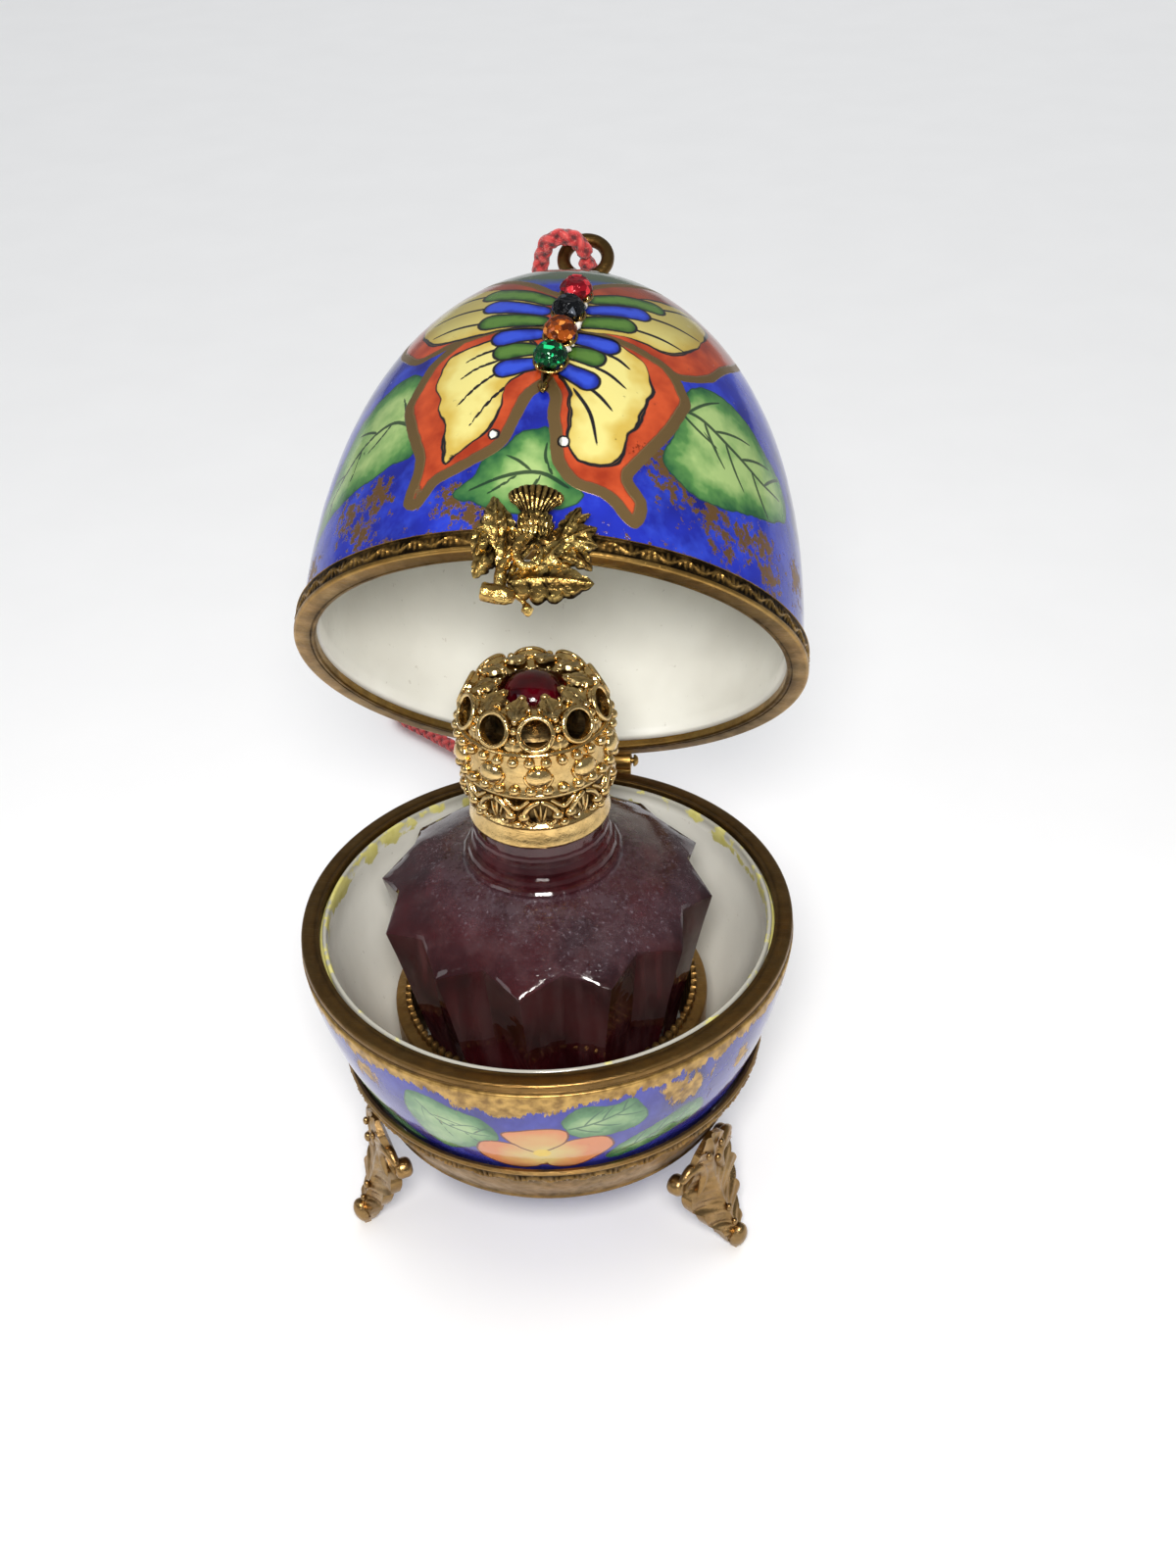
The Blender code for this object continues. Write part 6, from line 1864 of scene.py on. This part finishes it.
# Number of corners, radius, height and turn (in corners) of each ring of a cut stone.
STONE_RINGS = ((8, 1.15, 2, 0.5), (8, 1.68, 1.5, 0), (16, STONE_R, 0.85, 0.25), (16, STONE_R, 0.7, 0.25),
               (8, 1.7, 0, 0.5))


def strip_turn(height):
    share = (STRIP_TOP_H - height) / (STRIP_TOP_H - STRIP_END_H)
    return radians(7.2 + (1.5 - 7.2) * share)


def dome_frame(height, turn, off):
    """A matrix on the dome: Z out of it, X to the right round it, and Y up it."""
    slope = dome_slope(height)
    out = Vector((sin(turn) * cos(slope), -cos(turn) * cos(slope), sin(slope)))
    right = Vector((cos(turn), sin(turn), 0))
    place = round_egg(turn, float(dome_radius(height)), height) + out * off
    turned = Matrix((right, out.cross(right), out)).transposed().to_4x4()
    return Matrix.Translation(place) @ turned


def make_foil_glass(name, dark, middle, painted_glint):
    """Cut glass over foil: most facets are deep in colour, and a few small patches carry a painted glint."""
    material, w = new_material(name, {"Metallic": 0.4})
    cells = w.node("ShaderNodeTexVoronoi", {"Vector": w.place(), "Scale": 1500})
    pick = w.node("ShaderNodeSeparateColor", {"Color": cells.outputs["Color"]})
    colour = w.mix(w.spread(pick.outputs[0], 0.2, 0.9), dark, middle)
    scuffs = w.group(scuffs_group, {"Density": 0.3})
    # Painted glints: a few small patches take the bright colour.
    w.surface(w.mix(w.above(pick.outputs[1], 0.86, 0.03), colour, painted_glint),
              w.plus(w.spread(pick.outputs[2], 0, 1, 0.03, 0.09), w.times(scuffs["Mask"], 0.15)),
              w.plus(cells.outputs["Distance"], scuffs["Height"]), 0.35, 0.0004)
    return material


def make_stone(name, height, material, slot):
    bm = bmesh.new()
    for count, radius, z, shift in STONE_RINGS:
        turned = Matrix.Rotation(2 * pi * shift / count, 4, "Z")
        bmesh.ops.create_circle(bm, cap_ends=False, segments=count, radius=radius,
                                matrix=Matrix.Translation((0, 0, z)) @ turned)
    bmesh.ops.delete(bm, geom=bm.edges[:], context="EDGES_FACES")
    bmesh.ops.convex_hull(bm, input=bm.verts[:])
    bmesh.ops.dissolve_limit(bm, angle_limit=radians(1), verts=bm.verts[:], edges=bm.edges[:])
    bm.transform(dome_frame(height, strip_turn(height), 2 * GAP + STRIP_THICK))
    finished(name + "_cut", bm, material, "lid", slot, name, sharp=3)


def make_setting():
    bm, relief = new_casting()
    for vert in wrapped_grid(bm, 16, 60):
        t = (vert.co.y + 1) / 2
        height = STRIP_END_H + (STRIP_TOP_H - STRIP_END_H) * t
        x = vert.co.x
        front = abs(x) <= 0.7
        u = x / 0.7 if front else copysign(1 - (abs(x) - 0.7) / 0.3, x)
        half = 1.5 * min(1, (0.15 + 4 * t) if t < 0.5 else 0.3 + 9 * (1 - t))
        half *= 1 - 0.10 * (0.5 + 0.5 * cos(t * 2 * pi * 8.4))
        off = GAP + (STRIP_THICK * (1 - 0.35 * u * u) if front else 0)
        vert.co = dome_frame(height, strip_turn(height), off) @ Vector((u * half, 0, 0))
        vert[relief] = 0.25 + 0.4 * abs(u)
    bmesh.ops.remove_doubles(bm, verts=bm.verts, dist=0.0005)
    bmesh.ops.holes_fill(bm, edges=[edge for edge in bm.edges if edge.is_boundary], sides=0)
    for height, *_ in STONES.values():
        seat = dome_frame(height, strip_turn(height), GAP + STRIP_THICK + 0.12)
        raised(relief, add_hoop(bm, seat, 1.95, 0.2, 28, 8), 0.7)
        for k in range(4):
            angle = pi * (0.25 + 0.5 * k)
            claw = seat @ Vector((2 * cos(angle), 2 * sin(angle), 0.5))
            raised(relief, add_ball(bm, claw, 0.27, (1, 1, 1.4)), 0.9)
    tail = dome_frame(STRIP_END_H, strip_turn(STRIP_END_H), GAP + 0.3)
    add_leaf(bm, relief, tail @ Vector((0, 0.9, 0)), tail @ Vector((0, -1.2, 0)),
             tail.to_3x3() @ Vector((0, 0, 1)), 1.3, 0.4, 0.2, 0.1, 2, 0.2, long=16)
    finished("jewel_setting_strip", bm, clasp_gilt, "lid", "clasp_gilt", "jewel_setting", sharp=50,
             weld=0.0002)


# Height on the dome, distance across and up, and size of each crumb.
GLUE_CRUMBS = ((31.6, 1.8, 0.2, 0.5), (32.1, 2, 0.3, 0.35), (27.6, 1.7, 0, 0.42), (27.2, -1.7, 0.1, 0.3),
               (35.6, 1.7, 0.1, 0.42), (35.2, -1.6, 0, 0.28), (38.6, 1.3, 0, 0.3), (31, -1.7, 0.1, 0.3),
               (28.4, 2.1, 0, 0.25))


def make_glue():
    material, w = new_material("dried_glue")
    cloud = w.grain(900, 4, 0.6)
    w.surface(w.mix(w.spread(cloud, 0.3, 0.7), srgb(186, 180, 170), srgb(226, 222, 214)),
              w.spread(cloud, 0.3, 0.7, 0.35, 0.6), w.grain(2400, 3), 0.5, 0.0001)
    bm = bmesh.new()
    for i, (height, side, up, size) in enumerate(GLUE_CRUMBS):
        place = dome_frame(height, strip_turn(height), GAP + 0.55) @ Vector((side * 0.82, up, 0))
        for vert in add_ball(bm, place, size, fine=3):
            vert.co += (vert.co - place) * 0.5 * noise.noise(vert.co * 2.5 + Vector((i, 0, 0)))
    finished("glue_crumbs", bm, material, "lid", "clasp_gilt", sharp=180)


make_setting()
make_glue()
for stone_name, (stone_height, glass_name, stone_slot, *colours) in STONES.items():
    make_stone(stone_name, stone_height, make_foil_glass(glass_name, *colours), stone_slot)
